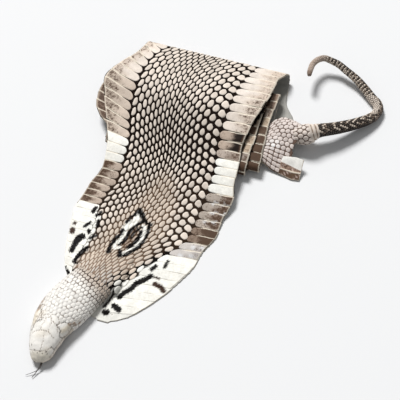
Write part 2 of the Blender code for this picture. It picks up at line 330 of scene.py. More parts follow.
def addObject(name, data):
    made = bpy.data.objects.new(name, data)
    bpy.context.scene.collection.objects.link(made)
    return made


# The pale and dark marks of the hood, as strokes: points (x, y), then the half width.
marks = {
    "white": [
        ([(-42.6, -23), (-42.3, -26.5), (-45.6, -31), (-48.2, -34.5)], 2.4),
        ([(-48, -34), (-47.4, -40), (-48.9, -46), (-51, -51), (-50.6, -54.5), (-47.6, -53.2)], 1.7),
        ([(-35.6, -30), (-33.6, -34), (-33.5, -39), (-34.2, -43.5), (-36.4, -48.6), (-40, -54),
          (-42.2, -57.4)], 1.7),
    ],
    "black": [
        ([(-43.3, -17.3), (-45.3, -21.8), (-47.6, -26), (-49.2, -30)], 1.31),
        ([(-49.8, -37.2), (-50, -40.8), (-52.5, -46.2), (-53.9, -51.2), (-53.8, -55.6),
          (-53.6, -59.4)], 1.59),
        ([(-43.1, -17.3), (-40.2, -20.5), (-37, -24.5), (-34, -26.8), (-31.2, -27.3)], 1.87),
        ([(-32.8, -27.6), (-31.2, -31.6), (-30.8, -36.6), (-31.4, -41.4), (-32.7, -45.8), (-34.8, -49.8),
          (-38, -54.4), (-40.8, -58.2), (-44.2, -60.6)], 1.31),
        ([(-45.4, -56), (-44.8, -60)], 1.76),
        ([(-37.8, -26.5), (-39.9, -29.4), (-42, -32.3), (-44.5, -37.1), (-45, -43), (-46.1, -47.2),
          (-48.2, -50.5)], 1.42),
        ([(-36.1, -35.4), (-36.4, -41.6), (-37.7, -45.4), (-39.6, -48.8), (-41, -51.3)], 1.64),
        ([(-36.9, -31.6), (-39.4, -34.2), (-41.2, -37.8), (-41.6, -42)], 1.08),
    ],
    "eyeInside": [([(-39.6, -34.5), (-41.2, -40), (-42.4, -46), (-44.2, -51)], 2.5)],
    "hoodBlack": [
        ([(-75.8, -24.6), (-76.6, -28.4)], 1.64), ([(-70.8, -27.3), (-72.8, -30.9)], 1.53),
        ([(-70, -35.3), (-69.1, -39.1)], 1.53), ([(-75.6, -38), (-78.4, -42.2)], 1.31),
        ([(-74.1, -44.8), (-73.5, -46.6)], 1.53), ([(-67.6, -47.6), (-71.1, -50.6)], 1.42),
        ([(-77.4, -51), (-79.5, -54), (-79.9, -56)], 2.76),
        ([(-79.9, -56), (-80.2, -59.6), (-80.8, -64.4)], 2.09),
        ([(-70.6, -59.2), (-72.3, -62.8), (-74.1, -66.4), (-75.4, -72.6)], 1.76),
        ([(-80.3, -79), (-79.6, -81)], 1.31), ([(-77.8, -81.2), (-75, -84.8), (-75.2, -87)], 1.31),
        ([(-16.8, -59.9), (-18.6, -63.3)], 1.64),
        ([(-17.6, -68.7), (-20.8, -72.6), (-25.8, -76.8), (-28.4, -82.8), (-32, -86.8), (-34.3, -91)], 2.09),
        ([(-35.6, -98.7), (-31.4, -100.6)], 2.3), ([(-40.2, -105), (-39.2, -104.8)], 2.4),
        ([(-9.2, -53.6), (-10.2, -59)], 1.2),
    ],
    "whiteLeft": [(14, -66), (24, -73), (32, -75), (39, -74.6), (47, -73.3), (55, -70.4), (62, -69),
                  (68, -69), (75, -68.5), (81, -70.6), (85, -74), (90, -90)],
    "whiteRight": [(14, -49), (24, -43.8), (36, -32.8), (42, -27.9), (48, -27.2), (52, -23.1), (59, -17),
                   (65, -13.3), (71, -4), (76, 30)],
    "boundary": [
        ([(-37.4, -85), (-38.8, -90), (-40.5, -96), (-42.3, -101)], 1.3),
        ([(-28, -70.5), (-34.6, -71.3), (-38.9, -73.1), (-40.2, -77.8), (-43, -79.7), (-43.8, -87.4),
          (-45.6, -98.5)], 1.5),
        ([(-41.9, -87.3), (-39, -82.8), (-35.5, -77), (-32, -70.9), (-28.3, -65), (-24.3, -60.1),
          (-19.3, -54.9), (-14, -50.3), (-8.6, -45.2)], 2.6),
        ([(-75.9, -23.8), (-75.1, -32.8), (-74.6, -40.9), (-74.6, -49.9), (-74.1, -57.8), (-74.5, -67.6),
          (-74.4, -76.3), (-74.9, -83.3)], 2.2),
    ],
    "brown": [([(-86.4, -41.4), (-86.6, -42)], 1.3), ([(-86.3, -47.6), (-86, -49)], 2.2),
              ([(-12.8, -74), (-7.6, -75.4), (-5.2, -77.6)], 1.9), ([(-14.4, -68.7), (-11.4, -69.1)], 0.9)],
}


# One inside any of the strokes, fading over their ragged rims.
def strokeMask(strokes, x, y, soft=0.35):
    ragged = 0.6 * np.sin(x * 2.9 + 1.3 * np.sin(y * 1.7)) * np.sin(y * 2.3 + 0.8)
    ragged = ragged + 0.25 * np.sin(x * 5.3 + y * 4.1)
    inside = np.zeros(np.shape(x))
    for points, half in strokes:
        for (ax, ay), (bx, by) in zip(points, points[1:]):
            lengthSquared = (bx - ax) ** 2 + (by - ay) ** 2
            part = np.clip(((x - ax) * (bx - ax) + (y - ay) * (by - ay)) / lengthSquared, 0, 1)
            gone = np.hypot(x - ax - part * (bx - ax), y - ay - part * (by - ay))
            inside = np.maximum(inside, 1 - smoothStep(half - soft, half + soft, gone + ragged))
    return inside


# A joined mesh with its points in millimetres.
def makeMesh(name, points, faces, material):
    mesh = bpy.data.meshes.new(name)
    mesh.from_pydata(inFrame(points).reshape(-1, 3).tolist(), [], faces)
    mesh.materials.append(materials[material])
    mesh.shade_smooth()
    return addObject(name, mesh)


# Stores a colour at every point, and beside it how strongly it is stained.
def paint(mesh, colours, stain):
    values = np.empty((len(mesh.vertices), 4), np.float32)
    values[:, :3] = np.reshape(colours, (-1, 3))
    values[:, 3] = np.ravel(stain)
    mesh.attributes.new("tone", "FLOAT_COLOR", "POINT").data.foreach_set("color", values.ravel())


# A flat grid, ready for its points to be moved, and how far across and down it each point is.
def gridPiece(name, columns, rows):
    bpy.ops.object.select_all(action="DESELECT")
    bpy.ops.mesh.primitive_grid_add(x_subdivisions=columns, y_subdivisions=rows, size=1)
    made = bpy.context.active_object
    made.name = made.data.name = name
    flat = np.empty(len(made.data.vertices) * 3)
    made.data.vertices.foreach_get("co", flat)
    across, down, _ = flat.reshape(-1, 3).T + 0.5
    return made, across, down


# Moves a grid's points to their places in millimetres and colours them.
def moveGrid(made, points, colours, stain):
    made.data.vertices.foreach_set("co", inFrame(points).ravel())
    made.data.update()
    paint(made.data, colours, stain)


def selectOnly(made):
    bpy.ops.object.select_all(action="DESELECT")
    made.select_set(True)
    bpy.context.view_layer.objects.active = made


# Turns every closed shell of a piece outward. A wrapped grid is joined at its seam and filled at its ends.
def turnOutward(made, wrapped=False):
    selectOnly(made)
    bpy.ops.object.mode_set(mode="EDIT")
    bpy.ops.mesh.select_all(action="SELECT")
    if wrapped:
        bpy.ops.mesh.remove_doubles(threshold=0.000002)
        bpy.ops.mesh.select_all(action="DESELECT")
        bpy.ops.mesh.select_non_manifold()
        bpy.ops.mesh.edge_face_add()
        bpy.ops.mesh.select_all(action="SELECT")
    bpy.ops.mesh.normals_make_consistent(inside=False)
    bpy.ops.object.mode_set(mode="OBJECT")


def finishPiece(made):
    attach(made, "root")
    print(made.name, "made,", len(made.data.polygons), "faces")


# A node group: its inputs with their first values, and its outputs with their kinds.
def makeGroup(name, inputs, outputs):
    group = bpy.data.node_groups.new(name, "ShaderNodeTree")
    for label, value in inputs.items():
        kind = {1: "Float", 3: "Vector", 4: "Color"}[np.size(value)]
        socket = group.interface.new_socket(name=label, in_out="INPUT", socket_type="NodeSocket" + kind)
        socket.default_value = value
    for label, kind in outputs.items():
        group.interface.new_socket(name=label, in_out="OUTPUT", socket_type="NodeSocket" + kind)
    return group, group.nodes.new("NodeGroupInput").outputs, group.nodes.new("NodeGroupOutput")


# Sets inputs of a node, each to a number, to a colour or to the socket that it is linked from.
def setInputs(tree, node, inputs):
    for label, value in inputs.items():
        if isinstance(value, bpy.types.NodeSocket):
            tree.links.new(value, node.inputs[label])
        else:
            node.inputs[label].default_value = value


def addNode(tree, kind, inputs, **settings):
    made = tree.nodes.new("ShaderNode" + kind)
    for label, value in settings.items():
        setattr(made, label, value)
    setInputs(tree, made, inputs)
    return made.outputs


def addNoise(tree, place, scale, detail, roughness):
    inputs = {"Vector": place, "Scale": scale, "Detail": detail, "Roughness": roughness}
    return addNode(tree, "TexNoise", inputs)["Fac"]


def addRange(tree, value, low, high, toLow=0.0, toHigh=1.0):
    inputs = {"Value": value, "From Min": low, "From Max": high, "To Min": toLow, "To Max": toHigh}
    return addNode(tree, "MapRange", inputs)["Result"]


def addMath(tree, operation, first, second):
    return addNode(tree, "Math", {0: first, 1: second}, operation=operation)[0]


# The sum of two values, each with its own weight.
def addSum(tree, first, firstWeight, second, secondWeight):
    first = addMath(tree, "MULTIPLY", first, firstWeight)
    return addMath(tree, "ADD", first, addMath(tree, "MULTIPLY", second, secondWeight))


# Mixes two colours: a Mix node takes them at its sockets 6 and 7 and gives the result at 2.
def addMix(tree, factor, first, second, blend="MIX"):
    return addNode(tree, "Mix", {0: factor, 6: first, 7: second}, data_type="RGBA", blend_type=blend)[2]


# Brown speckles and cloudy stains over a colour, as strong as the amount says.
def stainGroup():
    group, start, end = makeGroup(
        "brownStains",
        {"Color": (1, 1, 1, 1), "Stain": (0.1, 0.06, 0.04, 1), "Amount": 0.5, "Place": (0, 0, 0)},
        {"Color": "Color"})
    clouds = addNoise(group, start["Place"], 420, 3, 0.7)
    specks = addNoise(group, start["Place"], 1500, 3, 0.75)
    strength = addSum(group, addSum(group, clouds, 0.55, specks, 0.45), 1, start["Amount"], 0.42)
    mask = addRange(group, strength, 0.66, 0.77)
    setInputs(group, end, {"Color": addMix(group, mask, start["Color"], start["Stain"])})
    return group


# Fine dry wrinkles: a height for the bump and a gentle change of shade.
def grainGroup():
    group, start, end = makeGroup(
        "dryGrain", {"Place": (0, 0, 0), "Scale": 900.0}, {"Height": "Float", "Shade": "Float"})
    fine = addNoise(group, start["Place"], start["Scale"], 4, 0.65)
    wide = addNoise(group, start["Place"], 210, 2, 0.6)
    shade = addRange(group, addSum(group, fine, 0.5, wide, 0.5), 0.32, 0.68)
    setInputs(group, end, {"Height": fine, "Shade": shade})
    return group


stains = stainGroup()
grain = grainGroup()


# The colours come from the points unless one is given.
def makeMaterial(name, roughness, bumpDepth, grainScale, colour=None, stain=(0.085, 0.05, 0.032), coat=0.0,
                 specular=0.5):
    material = bpy.data.materials.new(name)
    material.use_nodes = True
    tree = material.node_tree
    place = addNode(tree, "TexCoord", {})["Object"]
    dry = addNode(tree, "Group", {"Scale": grainScale, "Place": place}, node_tree=grain)
    if colour is None:
        painted = addNode(tree, "Attribute", {}, attribute_name="tone")
        colour, amount = painted["Color"], painted["Alpha"]
    else:
        colour, amount = (*colour, 1), 0.1
    spots = {"Color": colour, "Amount": amount, "Stain": (*stain, 1), "Place": place}
    stained = addNode(tree, "Group", spots, node_tree=stains)["Color"]
    shade = addRange(tree, dry["Shade"], 0, 1, 0.84, 1.16)
    bump = {"Strength": 0.6, "Distance": bumpDepth * mm, "Height": dry["Height"]}
    setInputs(tree, tree.nodes["Principled BSDF"], {
        "Base Color": addMix(tree, 1.0, stained, shade, "MULTIPLY"),
        "Roughness": addRange(tree, dry["Shade"], 0, 1, roughness - 0.07, roughness + 0.09),
        "Normal": addNode(tree, "Bump", bump)["Normal"],
        "Specular IOR Level": specular,
        "Coat Weight": coat,
        "Coat Roughness": 0.25,
    })
    return material


# Each finish: its roughness, the depth of its grain in mm and how fine that is, then what else it has.
finishes = {
    "netSkin": (0.7, 0.14, 1300, {"specular": 0.05}),
    "fleshSide": (0.85, 0.2, 1700, {"colour": tint(160, 158, 152), "stain": tint(90, 86, 80)}),
    "cutEdge": (0.75, 0.15, 1500, {"colour": tint(214, 200, 178), "stain": tint(120, 96, 72)}),
    "backScale": (0.45, 0.1, 1100, {"specular": 0.14}),
    "bellyPlate": (0.5, 0.1, 700, {"specular": 0.06}),
    "headHorn": (0.52, 0.14, 600, {"stain": tint(150, 128, 106), "coat": 0.06, "specular": 0.25}),
    "tailHorn": (0.5, 0.12, 1200, {"specular": 0.3}),
    "tongueFlesh": (0.7, 0.1, 1500, {"colour": tint(84, 80, 76)}),
}
materials = {name: makeMaterial(name, *finish, **more) for name, (*finish, more) in finishes.items()}
print("materials made")

# Colours of the back, by where it lies.
tones = {
    "net": tint(26, 17, 12),
    "netHood": tint(98, 78, 62),
    "black": tint(14, 10, 9),
    "white": tint(238, 236, 228),
    "scale": tint(216, 203, 190),
    "scaleRim": tint(238, 226, 212),
    "hoodScale": tint(198, 181, 164),
    "hoodRim": tint(222, 208, 192),
    "neckGrey": tint(120, 108, 98),
}


# One on the pale middle of the hood, nothing on the roll and along the dark flanks.
def hoodShare(x, y):
    centre = through([(-112, -66), (-84, -56), (-60, -48), (-30, -38), (0, -31), (40, -33)], y)
    half = through([(-112, 30), (-80, 22), (-55, 22), (-30, 20), (-10, 15), (8, 8), (20, 3)], y)
    return (1 - smoothStep(half - 6, half + 5, np.abs(x - centre))) * (1 - smoothStep(4, 26, y))


# One on the white patches at both margins of the hood.
def marginShare(x, along, soft):
    left = 1 - smoothStep(-soft, soft, x - through(marks["whiteLeft"], along))
    right = smoothStep(-soft, soft, x - through(marks["whiteRight"], along))
    return left * (along < 88) + right * (along < 74)


# The colour of the skin between the scales.
def netTone(x, y, along):
    pale = hoodShare(x, y)
    inward = x + np.where(x < -40, 1.6, -1.6)
    return layered(
        tones["net"],
        ((58, 45, 35), 0.6 * smoothStep(140, 115, along)),
        (tones["netHood"], 0.9 * pale),
        ((150, 130, 114), 0.7 * pale * smoothStep(-48, -66, y)),
        (tones["neckGrey"], 0.7 * smoothStep(-80, -92, y)),
        (tones["white"] * 0.9, marginShare(inward, along, 0.6)),
        (tones["black"], strokeMask(marks["boundary"], x, y, 0.8)),
        (tones["white"] * 0.92, strokeMask(marks["white"], x, y)),
        (tones["black"], strokeMask(marks["black"] + marks["hoodBlack"], x, y)))


# The colour of each scale, with a lighter rim: white ones are white all over, black marks cross them.
def scaleTone(centre, flat, rim):
    x, along = centre[:, None, 0], centre[:, None, 1]
    y = yAt(along)
    hoodish = hoodShare(x, y)
    base = blendTo(tones["scale"], tones["hoodScale"], hoodish)
    base = base * (1 + 0.1 * smoothStep(-48, -66, y))[..., None]
    colour = blendTo(base, blendTo(tones["scaleRim"], tones["hoodRim"], hoodish), rim)
    grey = smoothStep(48, 30, along) * smoothStep(-34, -44, x) * jitter.uniform(0.1, 0.8, x.shape)
    colour = blendTo(colour, tint(206, 200, 193), grey)
    # Darker on the hood. Up the roll's slope to the ridge, which faces away from the lamp, the scales are
    # darkened as painted shade.
    darkerHoodAndShadedSlope = 0.07 * smoothStep(88, 70, along) + 0.05 * smoothStep(130, 150, along) * smoothStep(205, 185, along)
    slope = smoothStep(135, 155, along) * smoothStep(205, 180, along) * smoothStep(-80, -50, x)
    uneven = 1 + jitter.uniform(-0.12, 0.05, x.shape) - 0.12 * slope
    colour = colour * ((1 - darkerHoodAndShadedSlope) * uneven)[..., None]
    colour = blendTo(colour, tones["white"], marginShare(x, along, 0.5) > 0.5)
    x, y = flat[..., 0], yAt(flat[..., 1])
    return layered(
        colour,
        ((128, 106, 90), 0.75 * strokeMask(marks["eyeInside"], x, y)),
        (tones["white"], smoothStep(0.25, 0.5, strokeMask(marks["white"], x, y))),
        (tones["black"], smoothStep(0.3, 0.6, strokeMask(marks["black"] + marks["hoodBlack"], x, y))))


# The grid of the tanned skin: how its rows crowd on the hood and in the bends, and its uneven cut edges.
leatherGrid = {
    "columns": 104,
    "rows": 400,
    "flatShare": 0.26,
    "hoodShare": 0.85,
    "bendShare": 5.2,
    "sharpestBend": 0.5,
    "hoodEnd": 104,
    "samples": 3000,
    "raggedness": 0.35,
}


# The tanned skin itself.
def makeLeather():
    made, across, down = gridPiece("leather", leatherGrid["columns"], leatherGrid["rows"])
    fine = np.linspace(0, skinLength, leatherGrid["samples"])
    bending = np.abs(np.gradient(np.interp(fine, rollAlong, rollHeading), fine))
    bending = np.minimum(bending, leatherGrid["sharpestBend"])
    crowding = leatherGrid["flatShare"] + bending * leatherGrid["bendShare"]
    weight = np.cumsum(crowding + leatherGrid["hoodShare"] * (fine < leatherGrid["hoodEnd"]))
    along = np.interp(down, (weight - weight[0]) / (weight[-1] - weight[0]), fine)
    left, right = through(roll["leftEdge"], along), through(roll["rightEdge"], along)
    left = left + leatherGrid["raggedness"] * np.sin(along * 1.9) * np.sin(along * 0.73)
    right = right + leatherGrid["raggedness"] * np.sin(along * 2.1 + 1) * np.sin(along * 0.61)
    x = left + (right - left) * across
    colours = netTone(x, skinPoint(x, along)[:, 1], along)
    moveGrid(made, onSurface(skinPoint, x, along, hide["netSide"]), colours, 0.15)
    dressSheet(made, hide["netSide"] - hide["underSide"])
    return made


# Centres of the back scales, by column and row, with one more column past both borders.
def scaleCentres():
    middle = (net["columns"] - 1) // 2
    rows = np.arange(net["firstRow"], net["endRow"])
    columns = np.arange(net["columns"])
    places = rows[None, :] + (netOffsets[columns] - netOffsets[middle])[:, None]
    centres = np.stack(netPlace(columns[:, None], places), -1)
    centres += jitter.uniform(-0.16, 0.16, centres.shape)
    leftRows, rightRows = places[0] - 0.5, places[-1] - 0.4
    left = 2 * np.stack(netPlace(-0.5, leftRows), -1) - centres[0]
    right = 2 * np.stack(netPlace(net["columns"] - 0.5, rightRows), -1) - centres[-1]
    return np.concatenate([left[None], centres, right[None]])


# Points round a scale that fills its cell between its neighbours, in a net stretched to even cells.
def cellOutline(centre, around, aside, ahead, gap, sides, sharpness):
    stretch = np.linalg.inv(np.stack([aside, ahead / math.sqrt(3)], -1))
    away = np.einsum("nij,nkj->nki", stretch, around - centre[:, None])
    normal = np.einsum("nij,nki->nkj", stretch, away)
    size = np.linalg.norm(normal, axis=-1)
    limit = np.maximum((away**2).sum(-1) / 2 / size - gap[:, None] / 2, 0.35)
    angle = np.linspace(0, 2 * math.pi, sides, endpoint=False) + math.pi / 2
    turn = np.stack([np.cos(angle), np.sin(angle)], -1)
    facing = np.einsum("sc,nkc->nsk", turn, away) / (limit * size)[:, None]
    tipward = np.where(np.sin(angle) > 0, 1, 0.6) * np.sin(angle) ** 2
    power = (sharpness[:, None] + (net["tipSharpness"] - sharpness[:, None]) * tipward)[..., None]
    grown = np.maximum((np.maximum(facing, 0) ** power).sum(-1), 0.01) ** (-1 / power[..., 0])
    out = turn[:, :1] * aside[:, None] + turn[:, 1:] * ahead[:, None] / math.sqrt(3)
    return out * grown[..., None]


# Rings of a cap from the rim up: share of the outline, of the height, and of the rim's colour.
capRings = [(1.0, 0.0, 0.75), (0.95, 0.66, 1.0), (0.62, 1.0, 0.25)]


# Places and heights of every cap's points, and how much of the rim's colour each one has.
def capsOver(centres, outline):
    shares, heights, rims = np.array(capRings).T
    ringPoints = [centres[:, None] + outline * share for share in shares]
    flat = np.concatenate(ringPoints + [centres[:, None]], 1)
    rise = np.append(np.repeat(heights, outline.shape[1]), 1.0)
    rim = np.append(np.repeat(rims, outline.shape[1]), 0.0)
    return flat, rise, np.broadcast_to(rim, flat.shape[:2])


# The scales of the back, each one a low cap that fills its cell in the net.
def makeBackScales():
    centres = scaleCentres()
    middle = (net["columns"] - 1) / 2
    inside = centres[1:-1, 1:-1]
    columnCount, rowCount = inside.shape[:2]
    steps = [(0, 1), (0, -1), (1, 0), (-1, 0), (1, 1), (-1, -1), (1, -1), (-1, 1)]
    around = np.stack([centres[1 + c:1 + c + columnCount, 1 + r:1 + r + rowCount] for c, r in steps], 2)
    column = np.repeat(np.arange(columnCount)[:, None], rowCount, 1)
    rightOfMiddle = (column - middle)[..., None]
    leftward, rightward = (np.clip((0.8 + way * rightOfMiddle) / 1.2, 0, 1) for way in (-1, 1))
    aside = (around[:, :, 2] - around[:, :, 3]) / 2
    ahead = around[:, :, 0] + leftward * around[:, :, 7] + rightward * around[:, :, 4]
    ahead = 2 * (ahead / (1 + leftward + rightward) - inside)
    x, along = inside[..., 0], inside[..., 1]
    y = yAt(along)
    underNeck = (along < 60) & (neckHeight(x, y) > 1.5) & (neckFoot(x, y) < -84)
    kept = (along > 22) & (along < skinLength - 7) & ~underNeck
    inside, around, aside, ahead, column = (part[kept] for part in (inside, around, aside, ahead, column))
    x, along = inside.T
    off = (column - middle) / middle
    sharpness = net["sharpness"] - 0.4 * np.abs(off)
    gap = scaleGap(off, x, along)
    outline = cellOutline(inside, around, aside, ahead, gap, net["scaleSides"], sharpness)
    outline *= 1 + jitter.uniform(-0.03, 0.03, (len(x), 1, 1))
    # the last columns before the right belly plates are drawn out into points
    pointed = net["pointedBy"] * smoothStep(0.55, 0.95, off)[:, None] * (along > 60)[:, None]
    facing = (0.85 * outline[..., 0] - 0.53 * outline[..., 1]) / np.linalg.norm(outline, axis=-1)
    outline *= (1 + pointed * (smoothStep(0.35, 1, facing) - 0.3))[..., None]
    flat, rise, rim = capsOver(inside, outline)
    flatter = 1 - 0.3 * hoodShare(x, yAt(along))[:, None]
    height = hide["netSide"] - 0.03 + rise * (hide["scaleTop"] - hide["netSide"]) * flatter
    points = onSurface(skinPoint, flat[..., 0], flat[..., 1], height)
    return makeCaps("backScales", points, "backScale", scaleTone(inside, flat, rim), 0.12, outward=True)


# Faces of a cap: its rings from the rim up, its middle point and its flat underside.
def capFaces(sides):
    last = (len(capRings) - 1) * sides
    ring = [(s, (s + 1) % sides) for s in range(sides)]
    faces = [(r + a, r + b, r + b + sides, r + a + sides) for r in range(0, last, sides) for a, b in ring]
    faces += [(last + a, last + b, last + sides) for a, b in ring]
    return faces + [tuple(reversed(range(sides)))]


# One piece of many caps, all with the same number of sides, turned outward where they aren't yet.
def makeCaps(name, points, material, colours, stain, outward=False):
    count, size = points.shape[:2]
    faces = capFaces((size - 1) // len(capRings))
    copies = [tuple(i + size * k for i in face) for k in range(count) for face in faces]
    made = makeMesh(name, points, copies, material)
    paint(made.data, colours, stain)
    if not outward:
        turnOutward(made)
    return made


# How wide the dark gap round each back scale is: off goes from -1 at the left border to 1 at the right one.
def scaleGap(off, x, along):
    y = yAt(along)
    pale = marginShare(x, along, 0.5) + strokeMask(marks["white"], x, y)
    gap = net["gap"] + 0.25 * (1 - np.abs(off)) + 0.24 * off**2
    gap = gap * (1 - 0.42 * hoodShare(x, y)) * (1 - 0.35 * pale)
    gap = gap * (1 - 0.25 * smoothStep(165, 195, along) * smoothStep(264, 240, along))
    slope = smoothStep(130, 150, along) * smoothStep(205, 180, along)
    return gap * (1 + slope * (0.22 + 0.35 * smoothStep(0.2, 0.8, off)))


# Half plates of the belly, by side: a row number counts as in the net.
plates = {
    "grid": (19, 9),
    "hoodGrid": (49, 13),
    "leftFirst": -9,
    "rightFirst": -12,
    "rollRow": 26,           # from this row on they lie over the roll
    "endRow": 78,
    "seed": 7,
    "leftSweep": [(-12, 2), (-4, 0.5), (0, 0), (7, 0), (8, 1), (9, 2.5), (10, 4.5), (11, 7), (12, 9),
                  (14, 9.5), (17, 9), (20, 11), (30, 10)],
    "rightSweep": [(-12, 4), (0, 1), (30, 0)],
    "halfWidth": [(0, 0.33), (0.1, 0.41), (0.2, 0.452), (0.35, 0.477), (0.5, 0.49), (1, 0.492)],
    "hoodHalfWidth": [(0, 0.46), (0.1, 0.485), (1, 0.493)],
    # bands of one kind up to a row, on the hood's two sides first, and then over the roll
    "leftBands": [(0.5, "white"), (6.5, "dark"), (9.5, "white"), (15.5, "smoky"), (26, "beige")],
    "rightBands": [(-3.5, "white"), (-1.5, "paintedGlintPale"), (0.5, "umber"), (4.5, "paintedGlintBrown"), (8.5, "white"),
                   (9.5, "grey"), (11.5, "sooty"), (15.5, "beige"), (26, "tanned")],
    "leftRoll": [(80, "dark")],
    "rightRoll": [(33, "beige"), (35.5, "umber"), (36.5, "dusty"), (38.5, "tan"), (39.5, "brown"),
                  (43, "tan"), (54, "brown"), (58.5, "umber"), (60.5, "brown"), (61.5, "tan"),
                  (62.5, "split"), (80, "rust")],
    "cream": tint(240, 230, 212),
    "leftCream": 0.4,        # how strong the cream line along each cut edge is
    "rightCream": 0.9,
    # for each kind: colour near the back, colour near the cut edge, stains near the back and near the edge
    "kinds": {
        "white": ((240, 238, 230), (240, 237, 228), 0.02, 0.04),
        "dark": ((190, 173, 158), (126, 106, 92), 0.3, 0.62),
        "beige": ((223, 211, 199), (206, 190, 175), 0.1, 0.46),
        "tanned": ((225, 214, 203), (208, 191, 175), 0.14, 0.36),
        "smoky": ((206, 190, 175), (188, 172, 156), 0.2, 0.5),
        "sooty": ((186, 168, 152), (70, 52, 42), 0.3, 0.75),
        # The next two kinds carry painted highlights: whitish spots over brown plates, and pale plates partly
        # lightened as painted sheen and spotted too.
        "paintedGlintBrown": ((182, 170, 158), (128, 110, 98), 0.35, 0.6),
        "paintedGlintPale": ((202, 195, 189), (178, 171, 166), 0.2, 0.35),
        "umber": ((138, 120, 106), (62, 49, 40), 0.5, 1.0),
        "grey": ((182, 168, 156), (150, 134, 122), 0.35, 0.55),
        "dusty": ((178, 166, 155), (150, 138, 128), 0.4, 0.5),
        "tan": ((200, 182, 160), (190, 170, 148), 0.2, 0.35),
        "brown": ((150, 132, 116), (100, 83, 70), 0.4, 0.6),
        "split": ((232, 224, 214), (188, 168, 152), 0.1, 0.45),
        "rust": ((184, 164, 150), (150, 128, 113), 0.3, 0.45),
    },
}


# The band that a row of plates lies in, on the left or the right flank.
def plateKind(flank, row):
    bands = plates[flank + ("Bands" if row < plates["rollRow"] else "Roll")]
    return next(kind for end, kind in bands if row < end)


# A place on a belly plate: row counts along the body, out goes from the border to the cut edge.
def platePlace(flank, row, out):
    inner = between(net[flank + "Rows"], row)
    along = inner + through(plates[flank + "Sweep"], row) * np.clip(out, 0, 1.1) ** 1.15
    innerX = through(roll[flank + "Border"], inner)
    return innerX + (through(roll[flank + "Edge"], along) - innerX) * out, along


# The even grid of one plate: how far out each point is, where it is across, its rim and its faces.
def plateGrid(lengths, widths):
    outs, sides = np.meshgrid(np.linspace(0, 1, lengths) ** 1.2, np.linspace(-1, 1, widths), indexing="ij")
    at = np.arange(lengths * widths).reshape(lengths, widths)
    rim = [*at[0].tolist(), *at[1:, -1].tolist(), *at[-1, -2::-1].tolist(), *at[-2:0:-1, 0].tolist()]
    faces = np.stack([at[:-1, :-1], at[1:, :-1], at[1:, 1:], at[:-1, 1:]], -1).reshape(-1, 4).tolist()
    low = range(at.size, at.size + len(rim))
    faces += zip(rim, rim[1:] + rim[:1], [*low[1:], low[0]], low)
    return outs, sides, rim, faces + [tuple(low)]


# Colours and stains over one plate.
def plateTone(flank, row, outs, sides, x, along, onHood, rng):
    kind = plateKind(flank, row)
    inner, outer, innerStain, outerStain = plates["kinds"][kind]
    mixed = smoothStep(0.3, 0.8, outs + 0.12 * np.sin(sides * 3 + row) + 0.05 * np.sin(outs * 17 + row * 2))
    colour = blendTo(tint(*inner), tint(*outer), mixed) * (1 + rng.uniform(-0.06, 0.05))
    line = smoothStep(0.86, 0.97, np.abs(sides)) * smoothStep(0.22, 0.45, outs) * (0.15 if onHood else 0.9)
    colour = blendTo(colour, plates["cream"], line)
    stain = (innerStain + (outerStain - innerStain) * mixed) * (1 - line) * smoothStep(0.99, 0.95, outs)
    # painted highlights: whitish glint spots laid over the plates of the two glinting kinds
    if kind in ("paintedGlintBrown", "paintedGlintPale"):
        paintedGlint = np.sin(outs * 9 + row * 1.7) * np.sin(sides * 2.6 + outs * 7 + row)
        paintedGlint = smoothStep(0.25, 0.75, paintedGlint) * smoothStep(0.2, 0.4, outs)
        colour = blendTo(colour, tint(222, 222, 222), 0.75 * paintedGlint)
    if kind == "sooty":
        ragged = 0.05 * np.sin(sides * 5 + row * 2.3) + 0.04 * np.sin(outs * 31 + sides * 8) - 0.07 * sides
        soot = smoothStep(0.42, 0.68, outs + ragged) * smoothStep(0.97, 0.85, outs)
        colour = blendTo(colour, tint(26, 20, 17), 0.92 * soot * (1 - line))
        stain = stain * (1 - soot)
    overRoll = row >= plates["rollRow"]
    edge = 0.955 if overRoll else 0.975
    colour = blendTo(colour, plates["cream"], smoothStep(edge, edge + 0.02, outs) * plates[flank + "Cream"])
    y = yAt(along)
    if flank == "right" and overRoll:   # painted shade in the creases, where the layer above ends and overhangs
        above = through(roll["rightEdge"], y + 115)
        above = np.maximum(above, 27.6) if row > 50 else above
        colour = blendTo(colour, tint(24, 18, 15), smoothStep(1.1, 0.6, x - above))
    colour = layered(
        colour,
        (tones["black"], strokeMask(marks["hoodBlack"], x, y, 0.25)),
        ((60, 43, 34), strokeMask(marks["brown"], x, y, 0.5)))
    return colour, stain


